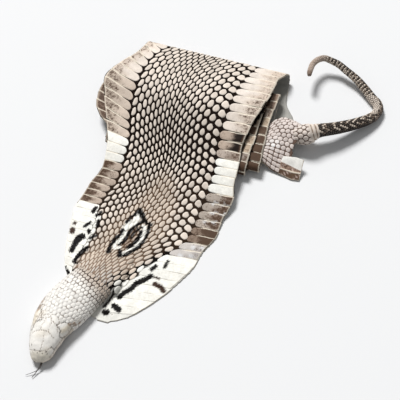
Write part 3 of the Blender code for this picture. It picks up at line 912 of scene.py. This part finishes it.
# Points, colours and stains of one plate, or nothing where it would pass an end of the skin.
def makePlate(flank, row, onHood, grid, rng):
    outs, sides, rim, _ = grid
    tip = 0.06 if onHood else 0.13
    roundness = np.sqrt(np.clip(1 - (1 - np.clip(outs / tip, 0, 1)) ** 2, 0, 1))
    half = through(plates["hoodHalfWidth" if onHood else "halfWidth"], outs) * roundness
    wavy = 0.035 * np.sin(outs * 9 + rng.uniform(0, 6)) * outs
    shift = rng.uniform(-0.03, 0.03)
    crown = 0.16 * (1 - sides**2) + 0.13 * sides
    ridge = 0.12 * np.abs(sides) ** 6 * smoothStep(0.3, 0.5, outs)
    if plateKind(flank, row) == "white" and not onHood:   # these close up towards the edge
        half = half + 0.014 * smoothStep(0.3, 0.5, outs)
        wavy, shift, ridge = 0, 0, 0
        crown = crown * (1 - 0.75 * smoothStep(0.3, 0.55, outs))
    reach = 1 + rng.uniform(-0.025, 0.015)
    start = 0.02 + rng.uniform(-0.02, 0.03) + (rng.uniform(-0.08, 0.02) if onHood else 0)
    if flank == "right" and row < -6:
        start = max(start, 0.02)   # clear of the neck's flank
    x, along = platePlace(flank, row + shift + sides * half + wavy, start + outs * (reach - start))
    if along.max() > skinLength - 2 or along.min() < 2:
        return None
    rise = np.minimum(0.17 + (crown + ridge) * (0.35 if onHood else 1), hide["scaleTop"] - hide["netSide"])
    top = onSurface(skinPoint, x, along, hide["netSide"] + rise).reshape(-1, 3)
    low = onSurface(skinPoint, x, along, np.full(x.shape, hide["netSide"] - 0.02)).reshape(-1, 3)
    colour, stain = plateTone(flank, row, outs, sides, x, along, onHood, rng)
    rows = np.column_stack([colour.reshape(-1, 3), stain.ravel()])
    return np.concatenate([top, low[rim]]), np.concatenate([rows, rows[rim]])


def makeBellyPlates():
    rng = random.Random(plates["seed"])
    grids = {True: plateGrid(*plates["hoodGrid"]), False: plateGrid(*plates["grid"])}
    cells, colours, faces = [], [], []
    count = 0
    for flank in ("left", "right"):
        for row in range(plates[flank + "First"], plates["endRow"]):
            onHood = row < plates[flank + "Bands"][0][0]
            made = makePlate(flank, row, onHood, grids[onHood], rng)
            if made is None:
                continue
            cells.append(made[0])
            colours.append(made[1])
            faces += [tuple(i + count for i in face) for face in grids[onHood][3]]
            count += len(made[0])
    made = makeMesh("bellyPlates", np.concatenate(cells), faces, "bellyPlate")
    colours = np.concatenate(colours)
    paint(made.data, colours[:, :3], colours[:, 3])
    turnOutward(made)
    return made


# Lines and patches of the head: points as (rows from the snout, degrees round), then the half width in mm.
headMarks = {
    "seams": [
        ([(2.5, 172), (1.95, 156), (1.75, 120), (1.7, 90), (1.85, 72), (1.95, 63), (2.4, 44),
          (2.3, 22)], 0.14),
        ([(1.7, 90), (2.78, 86), (3.78, 93)], 0.12),
        ([(3.4, 142), (3.65, 118), (3.78, 93), (3.7, 76), (3.3, 52)], 0.1),
        ([(3.76, 107), (4.3, 105), (4.75, 100), (4.98, 92), (4.7, 84), (4.2, 80), (3.72, 79)], 0.09),
        ([(4.98, 92), (5.3, 92)], 0.1),
        ([(3.9, 138), (4.6, 132), (4.75, 101)], 0.1), ([(3.9, 50), (4.5, 60), (4.72, 84)], 0.1),
        ([(4.6, 132), (5.05, 128), (5.3, 112), (5.28, 92), (5.25, 78), (5.0, 64), (4.56, 62)], 0.12),
        ([(4.64, 143), (4.8, 125), (5.09, 98)], 0.13),
        ([(5.24, 148), (4.46, 155), (3.6, 158), (2.6, 160)], 0.12),
        ([(1.3, 24), (2.3, 20), (3.4, 17), (4.3, 4), (5.2, 12)], 0.12),
        ([(2.9, 165), (3.4, 152), (4.5, 150)], 0.08), ([(4.4, 118), (5.2, 121)], 0.06),
    ],
    "labialRows": [1.35, 1.95, 2.55, 3.2, 3.9, 4.6, 5.2],
    "eyeRim": [([(4.56, 65), (4.26, 44), (3.7, 33), (3.75, 16), (4.1, 5), (4.85, 9), (5.14, 17), (5.41, 37),
                 (4.95, 56), (4.56, 65)], 0.3)],
    "eye": [([(4.35, 38), (4.85, 30)], 2.3)],
    "temple": [([(5.3, 34), (5.9, 16)], 2.3)],
    "templeLine": [([(5.1, 14), (5.55, 18), (6.2, 20)], 0.3)],
    "spots": [([(1.7, 90), (1.75, 88)], 0.4), ([(1.8, 62), (1.85, 60)], 0.75),
              ([(2.4, 43), (2.45, 43)], 0.45), ([(1.6, 50), (1.65, 50)], 0.35),
              ([(1.55, 78), (1.5, 74)], 0.3), ([(2.3, 26), (2.6, 20)], 0.35)],
    "degree": 0.26,      # one degree round the head, in mm
    "row": 8.5,          # one row along it
}


# Masks of the head's marks, the same on both sides of it unless only one is asked for.
def headMask(strokes, where, degrees, soft, bothSides=True):
    degree, row = headMarks["degree"], headMarks["row"]
    if bothSides:
        strokes = strokes + [([(w, 180 - a) for w, a in points], half) for points, half in strokes]
    flat = [([(a * degree, w * row) for w, a in points], half) for points, half in strokes]
    return strokeMask(flat, degrees * degree, where * row, soft)


# The head and neck without the lower jaw, as one closed form that dives under the hood's skin.
def makeHead():
    made, around, down = gridPiece("headSkin", *head["grid"])
    where = down * head["end"]
    angle = around * 2 * math.pi - math.pi / 2
    degrees = np.degrees(angle)
    labials = [([(w, -6), (w + 0.1, 19)], 0.1) for w in headMarks["labialRows"]]
    seams = headMask(headMarks["seams"], where, degrees, 0.3, False) + headMask(labials, where, degrees, 0.3)
    seams = np.clip(seams, 0, 1)
    socket = headMask(headMarks["eyeRim"], where, degrees, 0.5)
    lid = headMask(headMarks["eye"], where, degrees, 1.6)
    swell = head["swell"] * np.sin(where * 5.1 + degrees * 0.07) * np.sin(degrees * 0.11 - where * 2.3)
    height = head["lidRise"] * lid - head["seamDepth"] * seams - head["socketDepth"] * socket
    height = height + swell * (where < 5.3)
    points = onSurface(headPoint, where, angle, height, 0.02, 0.02)
    cornerY, cornerZ = head["mouthCorner"]
    frontY, frontZ = head["mouthFront"]
    opened = np.clip((cornerY - points[:, 1]) / (cornerY - frontY), 0, 1)
    roof = np.where(points[:, 1] < cornerY, cornerZ + (frontZ - cornerZ) * opened, -np.inf)
    points[:, 2] = np.maximum(points[:, 2], roof)
    x, y, _, _, widest, _ = tableAt(head["rows"], where)
    points = blendTo(points, np.stack([x, y, widest], -1), 0.35 * smoothStep(8.7, 9.5, where))
    moveGrid(made, points, headTone(where, degrees, seams, socket, lid), 0.05)
    closeTube(made, "headHorn")
    return made


# Cream horn with sandy and grey patches, brown round the eyes, darker between the scales of the neck.
def headTone(where, degrees, seams, socket, lid):
    sandy = smoothStep(0.2, 1.0, np.sin(where * 2.1 + 0.6) * np.sin(degrees * 0.045 + where))
    mouth = (degrees < -8) | (degrees > 188)
    return layered(
        tint(231, 227, 220),
        ((219, 210, 195), 0.55 * sandy),
        ((210, 202, 186), 0.8 * (1 - smoothStep(1.4, 2.0, where))),
        ((206, 195, 180), 0.7 * smoothStep(35, 8, degrees) * (where < 6)),
        ((216, 206, 188), lid),
        ((142, 116, 92), 0.85 * headMask(headMarks["temple"], where, degrees, 0.9)),
        ((88, 72, 58), 0.8 * headMask(headMarks["templeLine"], where, degrees, 0.3)),
        ((58, 46, 38), 0.95 * socket),
        ((122, 104, 88), 0.85 * seams),
        ((66, 54, 46), headMask(headMarks["spots"], where, degrees, 0.35)),
        (neckNet(where, degrees), smoothStep(5.2, 5.5, where)),
        ((150, 134, 116), 0.8 * mouth * (where < 4.8)))


# The colour between the neck's scales: grey, then brown and black towards the hood.
def neckNet(where, degrees):
    uneven = np.sin(where * 9.1 + degrees * 0.11) + np.sin(where * 23.0 - degrees * 0.17)
    return layered(
        tint(208, 204, 199),
        ((128, 116, 106), 0.8 * smoothStep(0.1, 1.1, uneven)),
        ((84, 68, 56), smoothStep(7.0, 8.7, where + 0.006 * (110 - degrees))),
        (tones["black"], 0.85 * smoothStep(7.6, 8.1, where) * smoothStep(36, 24, degrees)))


# Round scales of the neck and the back of the head.
neck = {
    "radius": 15.0,          # one radian round the neck, in mm
    "row": 9.6,              # one row of the head's table along it
    "pitch": 2.9,
    "rowPitch": 2.9,
    "degrees": (-32, 212),   # from the right side of the neck over its top to the left
    "rows": (5.32, 9.1),
    "gap": 0.3,
    "sides": 12,
    "sharpness": 6.5,
}


# Outlines of scales in even rows, each within the neighbours that it has in a staggered or a square net.
def evenOutlines(across, ahead, finish, staggered=True):
    count = len(across)
    zero = np.zeros(count)
    slip = across / 2 if staggered else zero
    corners = [(across, zero), (slip, ahead), (slip, -ahead)]
    around = np.stack([way * np.stack(pair, -1) for pair in corners for way in (1, -1)], 1)
    aside, forward = around[:, 0], np.stack([zero, across * math.sqrt(3)], -1)
    gaps, sharpnesses = np.full(count, finish["gap"]), np.full(count, finish["sharpness"])
    return cellOutline(np.zeros((count, 2)), around, aside, forward, gaps, finish["sides"], sharpnesses)


def makeNeckScales():
    pitch, rowPitch = neck["pitch"], neck["rowPitch"]
    left, right = (math.radians(degrees) * neck["radius"] for degrees in neck["degrees"])
    front, back = (row * neck["row"] for row in neck["rows"])
    rows, columns = int((back - front) / rowPitch) + 1, int((right - left) / pitch) + 1
    centres = [(left + (c + 0.5 * (r % 2)) * pitch, front + r * rowPitch)
               for r in range(rows) for c in range(columns)]
    centres = np.array(centres) + jitter.uniform(-0.26, 0.26, (len(centres), 2))
    count = len(centres)
    outline = evenOutlines(np.full(count, pitch), np.full(count, rowPitch), neck)
    outline *= 1 + jitter.uniform(-0.12, 0.05, (count, 1, 1))
    flat, rise, rim = capsOver(centres, outline)
    where, angle = flat[..., 1] / neck["row"], flat[..., 0] / neck["radius"]
    tilt = 0.05 * (flat[..., 1] - flat[:, -1:, 1])
    points = onSurface(headPoint, where, angle, 0.2 * rise - 0.02 + tilt * rise, 0.02, 0.02)
    places, degrees = where[:, -1], np.degrees(angle[:, -1])
    colour = layered(
        tint(230, 226, 219),
        ((178, 160, 143), smoothStep(7.9, 9.1, places + 0.004 * (110 - degrees))),
        ((120, 106, 94), smoothStep(7.2, 7.9, places) * smoothStep(62, 30, degrees) * 0.45))
    colour = colour * (1 + jitter.uniform(-0.09, 0.05, (count, 1)))
    colour = blendTo(colour, tint(140, 118, 99), 0.9 * headMask(headMarks["temple"], places, degrees, 0.9))
    colour = blendTo(colour[:, None], tint(240, 237, 230), 0.35 * rim)
    return makeCaps("neckScales", points, "headHorn", colour, 0.06)


# Makes a wrapped grid one closed form of one material.
def closeTube(made, material):
    made.data.materials.append(materials[material])
    turnOutward(made, wrapped=True)
    made.data.shade_smooth()


# The back end of the skin beside the roll: x, then (y, z) at its near edge, middle, ridge and far edge.
rump = {
    "sections": [
        (14.0, (49.4, 7.9), (61.0, 8.4), (72.0, 8.9), (84.0, 9.4)),
        (33.0, (49.4, 7.9), (61.0, 8.4), (72.0, 8.9), (84.0, 9.4)),
        (38.5, (48.0, 5.4), (62.5, 9.2), (80.0, 11.2), (88.5, 10.8)),
        (45.0, (45.6, 2.4), (61.5, 9.8), (82.0, 14.2), (91.5, 11.6)),
        (52.0, (44.0, 1.4), (60.5, 9.0), (83.5, 15.6), (91.5, 10.0)),
        (58.0, (43.0, 1.0), (60.0, 8.4), (83.0, 16.4), (89.0, 10.0)),
    ],
    "rightEdge": [(0, 58.2), (0.3, 58.6), (0.42, 57.4), (0.55, 58.4), (0.7, 61), (1, 60)],
    "left": 16,
    "grid": (44, 60),
    "raggedness": 0.5,
    "thickness": 0.9,
    "across": 53.0,      # the way from the near edge over the ridge, in mm
    "firstScale": (33.4, 2.4),
    "rowCount": 15,
    "columnCount": 12,
    "pitch": 4.15,
    "rowPitch": 3.75,
    "squareRows": 5,
    "gap": 0.32,
    "sides": 12,
    "sharpness": 7.0,
    "lineTone": tint(104, 86, 77),
    "scaleTone": tint(206, 193, 186),
}
# The torn flap at the rump's near corner: x, then (y, z) at its near edge, middle and raised edge.
flap = {
    "sections": [
        (50.0, (44.6, 1.6), (50.0, 4.6), (57.0, 7.6)),
        (57.0, (43.2, 1.0), (49.5, 4.0), (58.0, 7.4)),
        (62.0, (42.0, 0.9), (49.0, 3.4), (58.6, 7.6)),
        (68.5, (42.8, 0.9), (49.4, 3.6), (56.6, 9.4)),
    ],
    "left": 51,
    "right": 68,
    "grid": (36, 44),
}


# A fine table of (x, y, z) through the sections, with so many steps from one to the next and so many across.
def sheetTable(sections, steps=24, across=96):
    spread = len(sections[0]) - 1
    table = []
    for x, *flat in smoothRows([np.hstack(section) for section in sections], steps):
        section = smoothRows(np.reshape(flat, (spread, 2)), across // (spread - 1))
        gone = travelled(section)
        y, z = (np.interp(np.linspace(0, gone[-1], across + 1), gone, column) for column in section.T)
        table.append(np.column_stack([np.full(across + 1, x), y, z]))
    return np.array(table)


# A function that gives the point of a sheet at an x and a share of its way across.
def sheetPoint(table):
    places = table[:, 0, 0]

    def pointAt(x, share):
        x, share = np.broadcast_arrays(np.asarray(x, float), np.asarray(share, float))
        i = np.clip(np.searchsorted(places, x) - 1, 0, len(places) - 2)
        column = np.clip(share, -0.02, 1.02) * (table.shape[1] - 1)
        j = np.clip(column.astype(int), 0, table.shape[1] - 2)
        low, high = (blendTo(table[row, j], table[row, j + 1], column - j) for row in (i, i + 1))
        return blendTo(low, high, (x - places[i]) / (places[i + 1] - places[i]))

    return pointAt


rumpPoint = sheetPoint(sheetTable(rump["sections"]))
flapPoint = sheetPoint(sheetTable(flap["sections"]))


# The skin of the rump, from inside the roll to its torn edge beside the tail.
def makeRump():
    made, across, down = gridPiece("rumpSkin", *rump["grid"])
    right = through(rump["rightEdge"], down)
    x = rump["left"] + (right - rump["left"]) * across + rump["raggedness"] * np.sin(down * 70) * across**8
    moveGrid(made, onSurface(rumpPoint, x, down, 0.1), rump["lineTone"], 0.2)
    dressSheet(made, rump["thickness"])
    return made


# Gives an open sheet its thickness: net side out, grey flesh side in, pale where it is cut.
def dressSheet(made, thickness):
    for label in ("netSkin", "fleshSide", "cutEdge"):
        made.data.materials.append(materials[label])
    wall = made.modifiers.new("wall", "SOLIDIFY")
    wall.thickness = thickness * mm
    wall.offset = -1
    wall.material_offset = 1
    wall.material_offset_rim = 2
    selectOnly(made)
    bpy.ops.object.modifier_apply(modifier=wall.name)
    made.data.shade_smooth()


def makeRumpScales():
    cells = {True: [], False: []}
    left, near = rump["firstScale"]
    for row in range(rump["rowCount"]):
        squared = row < rump["squareRows"]
        ahead = near + row * rump["rowPitch"]
        for column in range(rump["columnCount"]):
            x = left + (column + (0 if squared or row % 2 else 0.5)) * rump["pitch"]
            if ahead < rump["across"] and x < float(through(rump["rightEdge"], ahead / rump["across"])) - 0.4:
                cells[squared].append((x, ahead))
    caps = []
    for squared, centres in cells.items():
        centres = np.array(centres) + jitter.uniform(-0.22, 0.22, (len(centres), 2))
        pitch, ahead = (np.full(len(centres), rump[label]) for label in ("pitch", "rowPitch"))
        outline = evenOutlines(pitch, ahead, rump, not squared)
        caps.append(capsOver(centres, outline * (1 + jitter.uniform(-0.05, 0.04, (len(centres), 1, 1)))))
    flat, rim = (np.concatenate([cap[part] for cap in caps]) for part in (0, 2))
    share = flat[..., 1] / rump["across"]
    x = np.minimum(flat[..., 0], through(rump["rightEdge"], share) - 0.1)
    points = onSurface(rumpPoint, x, share, 0.06 + 0.32 * caps[0][1], 0.05, 0.002)
    colour = rump["scaleTone"] * (1 + jitter.uniform(-0.15, 0.05, (len(flat), 1)))
    # painted highlight: a pale glossy spot over the scales near the rump's middle
    paintedShine = np.exp(-((x[:, -1:] - 42) ** 2 + ((share[:, -1:] - 0.42) * 50) ** 2) / 18)
    colour = layered(colour[:, None], ((228, 218, 211), 0.6 * rim), ((240, 240, 238), 0.8 * paintedShine))
    return makeCaps("rumpScales", points, "backScale", colour, 0.12)


# The torn corner: two brown plates with painted pink highlights and a cream ridge between them, and the white
# inside turned up.
def makeFlap():
    made, across, down = gridPiece("rumpFlap", *flap["grid"])
    x = flap["left"] + (flap["right"] - flap["left"]) * across
    ridge = 0.3 + 0.04 * across
    curl = 0.5 * np.sin(across * math.pi) * smoothStep(0.5, 0.9, down)
    curl = curl + 0.35 * np.exp(-((down - ridge) / 0.035) ** 2)
    # painted highlight: pinkish glossy streaks over the brown plates
    paintedShine = smoothStep(0.2, 0.9, np.sin(x * 1.3 + down * 9) * np.sin(down * 21 + x * 0.6))
    white = smoothStep(-0.02, 0.03, down - 0.66 + 0.2 * across)
    cream = np.exp(-((down - ridge) / 0.03) ** 2) + smoothStep(0.975, 1, across) + smoothStep(0.03, 0, down)
    cream = np.clip(cream, 0, 1)
    colour = layered(
        tint(100, 80, 66),
        ((158, 132, 116), smoothStep(-0.02, 0.02, down - ridge)),
        ((222, 200, 190), 0.7 * paintedShine),
        ((240, 237, 230), white),
        ((240, 228, 210), cream))
    moveGrid(made, onSurface(flapPoint, x, down, 0.45 + curl), colour, 0.45 * (1 - white) * (1 - cream))
    dressSheet(made, rump["thickness"])
    return made


# The tail with its collar, from inside the rump to the tip: x, y, z, radius.
tail = {
    "rows": [
        (54.0, 77.0, 8.6, 4.8), (59.0, 78.0, 10.4, 7.2), (64.0, 79.6, 11.6, 8.3), (68.0, 81.4, 12.7, 7.4),
        (71.4, 83.6, 13.4, 5.8), (76.0, 86.3, 13.2, 5.3), (82.6, 90.0, 12.4, 5.0), (90.0, 95.2, 10.7, 4.8),
        (97.4, 101.2, 8.8, 4.6), (104.5, 107.8, 6.9, 4.4), (110.2, 114.0, 5.3, 4.2), (114.0, 120.4, 4.3, 4.0),
        (115.4, 126.0, 3.9, 3.9), (113.8, 131.2, 3.9, 3.9), (108.8, 135.8, 4.1, 3.8),
        (102.2, 142.0, 5.2, 3.6), (92.4, 149.8, 7.2, 3.3), (82.9, 154.8, 9.1, 3.0), (73.1, 159.2, 11.0, 2.8),
        (63.9, 160.0, 13.0, 2.6), (58.0, 156.4, 14.0, 2.5), (54.2, 147.8, 15.0, 2.4),
        (53.9, 140.4, 15.8, 2.2), (54.4, 135.8, 16.2, 1.6),
    ],
    "collarEnd": 21.0,
    "folds": (14.5, 21.0),      # the bare wrinkles between collar and tail
    "grid": (40, 260),
    "collarPitch": 3.9,
    "pitch": 2.3,
    "tipPitch": 1.75,
    "collarSpacing": 0.86,      # the way from row to row, as a share of the pitch
    "spacing": 0.8,
    "collarCount": 11,
    "counts": [(0.5, 15), (0.8, 12), (1.0, 10)],   # scales in a row, up to a share of the tail
    "gap": 0.26,
    "sides": 10,
    "sharpness": 4.0,
}
tailLine = smoothRows(tail["rows"], 12)
tailAlong = travelled(tailLine[:, :3])


# A point of the tail; a quarter turn is up and nothing is the side that faces out of the bend.
def tailPoint(along, angle):
    along, angle = np.broadcast_arrays(np.asarray(along, float), np.asarray(angle, float))
    line = tailAt(along)
    ahead = unit((tailAt(along + 1) - tailAt(along - 1))[..., :3])
    side = unit(np.cross(ahead, (0, 0, 1)))
    out = side * np.cos(angle)[..., None] + np.cross(side, ahead) * np.sin(angle)[..., None]
    return line[..., :3] + out * (line[..., 3:] - 0.25)


# Centre and radius of the tail at a distance along it.
def tailAt(along):
    return np.stack([np.interp(along, tailAlong, column) for column in tailLine.T], -1)


def makeTail():
    made, around, down = gridPiece("tailSkin", *tail["grid"])
    low, high = tail["folds"]
    length = tailAlong[-1]
    along = np.interp(down, (0, 0.2, 1), (0, high + 1, length - 0.4))
    angle = around * 2 * math.pi
    folded = smoothStep(low - 1.5, low, along) * smoothStep(high + 0.5, high - 1.0, along)
    wave = np.sin((along - low) * 2.6 + 0.8 * np.sin(angle * 2 + 0.5))
    points = onSurface(tailPoint, along, angle, folded * (0.35 + 0.4 * wave), 0.2, 0.02)
    bare = blendTo(tint(214, 202, 190), tint(128, 108, 92), smoothStep(-0.3, -0.95, wave))
    colour = layered(
        tint(50, 40, 33),
        ((150, 130, 116), smoothStep(length - 30, length - 20, along)),
        (rump["lineTone"], 1 - smoothStep(19, 21, along)),
        (bare, folded))
    moveGrid(made, points, colour, 0.12)
    closeTube(made, "netSkin")
    return made


# Rows of scales round the collar and the tail, smaller and fewer towards the tip.
def makeTailScales():
    low, high = tail["folds"]
    length = tailAlong[-1]
    cells = []   # for each scale: distance along, pitch, turn, radius, width and which way its row is offset
    along, ring = 4.0, 0
    while along < length - 0.6:
        share = along / length
        collar = along < low
        pitch = tail["collarPitch"] if collar else tail["pitch"] + (tail["tipPitch"] - tail["pitch"]) * share
        counts = [(1.0, tail["collarCount"])] if collar else tail["counts"]
        number = next(count for end, count in counts if share < end)
        if collar or along > high:
            radius, step, odd = tailAt(along)[3], 2 * math.pi / number, ring % 2
            for k in range(number):
                cells.append((along, pitch, (k + 0.5 * odd) * step, radius, step * radius, odd * 2 - 1))
            ring += 1
        along += pitch * tail["collarSpacing" if collar else "spacing"]
    places, pitches, turns, radii, widths, turnAbout = np.array(cells).T
    outline = evenOutlines(widths, pitches * 0.83, tail)
    centres = np.stack([turns * radii, places], -1) + jitter.uniform(-0.08, 0.08, (len(cells), 2))
    flat, rise, rim = capsOver(centres, outline)
    height = 0.04 + rise * np.where(places < low, 0.4, 0.3)[:, None]
    points = onSurface(tailPoint, flat[..., 1], flat[..., 0] / radii[:, None], height, 0.2, 0.02)
    forward = (flat[..., 1] - places[:, None]) / pitches[:, None]
    return makeCaps("tailScales", points, "tailHorn", tailTone(places, turns, turnAbout, forward, rim), 0.1)


# Beige on the collar, at the inside of the bend and at the tip; mottled black, brown and beige elsewhere.
def tailTone(along, angle, turnAbout, forward, rim):
    length, count = tailAlong[-1], len(along)
    off = np.degrees(np.abs((angle + math.pi / 2) % (2 * math.pi) - math.pi))
    outer = np.cos(angle)
    first = 1 - smoothStep(52, 66, along)
    uneven = along + jitter.uniform(-1.1, 1.1, count)
    marked = smoothStep(0.0, 0.7, np.sin((uneven - 0.11 * off) * 2 * math.pi / 7.2))
    dark = first * (0.95 - 0.75 * marked * (off < 62)) + (1 - first) * 0.5
    returning = smoothStep(92, 104, along)
    dark += returning * (0.02 + 0.5 * outer + 0.4 * turnAbout * smoothStep(0.7, 0.2, outer))
    dark += 0.35 * smoothStep(60, 95, off) * (1 - returning)
    dark += 0.25 * np.sin(along * 2.9 + 3 * np.sin(angle * 3)) + jitter.uniform(-0.28, 0.28, count)
    bend = smoothStep(70, 75, along) * smoothStep(101, 96, along) * smoothStep(0.25, 0.0, outer)
    tip = smoothStep(length - 31, length - 26, along)
    dark = np.clip(dark, 0, 1) * (1 - bend) * (1 - tip)
    rings = 0.5 + 0.5 * np.sin(along * 2.5 + np.sin(angle * 2))
    collar = along < tail["collarEnd"]
    colour = layered(
        tint(212, 198, 182),
        ((120, 102, 88), smoothStep(0.1, 0.5, dark)),
        ((34, 26, 22), smoothStep(0.42, 0.76, dark)),
        ((216, 203, 190), bend),
        (blendTo(tint(196, 180, 167), tint(150, 130, 116), 0.5 * rings), tip),
        ((120, 98, 84), smoothStep(length - 5, length - 2, along)),
        ((212, 200, 190), collar))
    colour = (colour * (1 + jitter.uniform(-0.1, 0.08, (count, 1))))[:, None]
    tipward = smoothStep(-0.1, 0.45, forward) * ((0.6 - 0.35 * dark) * ~collar)[:, None]
    return layered(colour, ((206, 192, 176), tipward), ((226, 214, 204), 0.4 * rim * collar[:, None]))


# The dried tongue: its centre line from inside the mouth to the fork, then the tips of both tines.
tongue = {
    "root": (-69.6, -148.6, 3.5),
    "lip": (-69.0, -155.6, 3.3),
    "fork": (-70.0, -159.0, 2.2),
    "tips": [(-77.0, -164.4, 1.0), (-72.2, -165.0, 1.0)],
    "width": 1.5,
    "sides": 8,
}


# A flat strip that parts in two, its tines thinning to points.
def makeTongue():
    sides, width = tongue["sides"], tongue["width"]
    turns = np.linspace(0, 2 * math.pi, sides, endpoint=False)
    points, faces = [], []
    for tip, way in zip(tongue["tips"], (-1, 1)):
        line = smoothRows([tongue["root"], tongue["lip"], tongue["fork"], tip], 6)
        start = len(points)
        for share, (x, y, z) in zip(np.linspace(0, 1, len(line)), line):
            thickness = 0.35 * (1 - smoothStep(0.66, 1.0, share) * 0.6)
            half = width * 0.32 * (1 - 0.45 * share)
            middle = x + way * width * 0.22 * (1 - smoothStep(0.5, 0.7, share))
            points += [(middle + math.cos(turn) * half, y, z + math.sin(turn) * thickness) for turn in turns]
        ring = [(start + s, start + (s + 1) % sides) for s in range(sides)]
        last = (len(line) - 1) * sides
        for r in range(0, last, sides):
            faces += [(a + r, b + r, b + r + sides, a + r + sides) for a, b in ring]
        faces += [tuple(a for a, _ in reversed(ring)), tuple(a + last for a, _ in ring)]
    made = makeMesh("forkedTongue", points, faces, "tongueFlesh")
    turnOutward(made)
    return made


def makeStage():
    bpy.ops.object.select_all(action="DESELECT")
    bpy.ops.mesh.primitive_plane_add(size=6, location=(0, 0, -0.00003))
    floor = bpy.context.active_object
    floor.name = "floor"
    white = bpy.data.materials.new("paleFloor")
    white.use_nodes = True
    finish = {"Base Color": (0.775, 0.777, 0.78, 1), "Roughness": 0.9, "Specular IOR Level": 0.1}
    setInputs(white.node_tree, white.node_tree.nodes["Principled BSDF"], finish)
    floor.data.materials.append(white)


view = {
    "azimuth": math.radians(16),
    "elevation": math.radians(58),
    "distance": 675.0,
    "aim": (0.0, 0.0, 8.0),
    "lens": 80,
    "lightFrom": (-0.40, 0.47, 0.79),
    "lightPower": 1690.0,
    "lightDistance": 12.0,
    "lightSize": 3.8,
    "skyStrength": 0.29,
}


def makeView():
    azimuth, elevation = view["azimuth"], view["elevation"]
    level = math.cos(elevation)
    back = Vector((math.sin(azimuth) * level, -math.cos(azimuth) * level, math.sin(elevation)))
    aim = Vector(inFrame(view["aim"]))
    camera = addObject("camera", bpy.data.cameras.new("camera"))
    camera.location = aim + back * view["distance"] * mm
    camera.rotation_euler = (-back).to_track_quat("-Z", "Y").to_euler()
    camera.data.lens = view["lens"]
    camera.data.sensor_width = 36
    camera.data.clip_start = 0.01
    bpy.context.scene.camera = camera
    light = addObject("softLight", bpy.data.lights.new("softLight", "AREA"))
    light.data.shape = "DISK"
    light.data.size = view["lightSize"]
    light.data.energy = view["lightPower"]
    direction = Vector(view["lightFrom"]).normalized()
    light.location = aim + direction * view["lightDistance"]
    light.rotation_euler = direction.to_track_quat("Z", "Y").to_euler()
    world = bpy.data.worlds.new("paleStudio")
    world.use_nodes = True
    sky = {"Color": (0.97, 0.985, 1.0, 1), "Strength": view["skyStrength"]}
    setInputs(world.node_tree, world.node_tree.nodes["Background"], sky)
    bpy.context.scene.world = world
    bpy.context.scene.view_settings.view_transform = "Standard"


makeView()
makeStage()
print("camera, light and floor set")
leather = makeLeather()
finishPiece(leather)
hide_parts("hide")
jitter = np.random.default_rng(11)
for make in (makeBackScales, makeBellyPlates, makeHead, makeNeckScales, makeRump, makeRumpScales, makeFlap,
             makeTail, makeTailScales):
    finishPiece(make())
forkedTongue = makeTongue()
finishPiece(forkedTongue)
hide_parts("tongue")
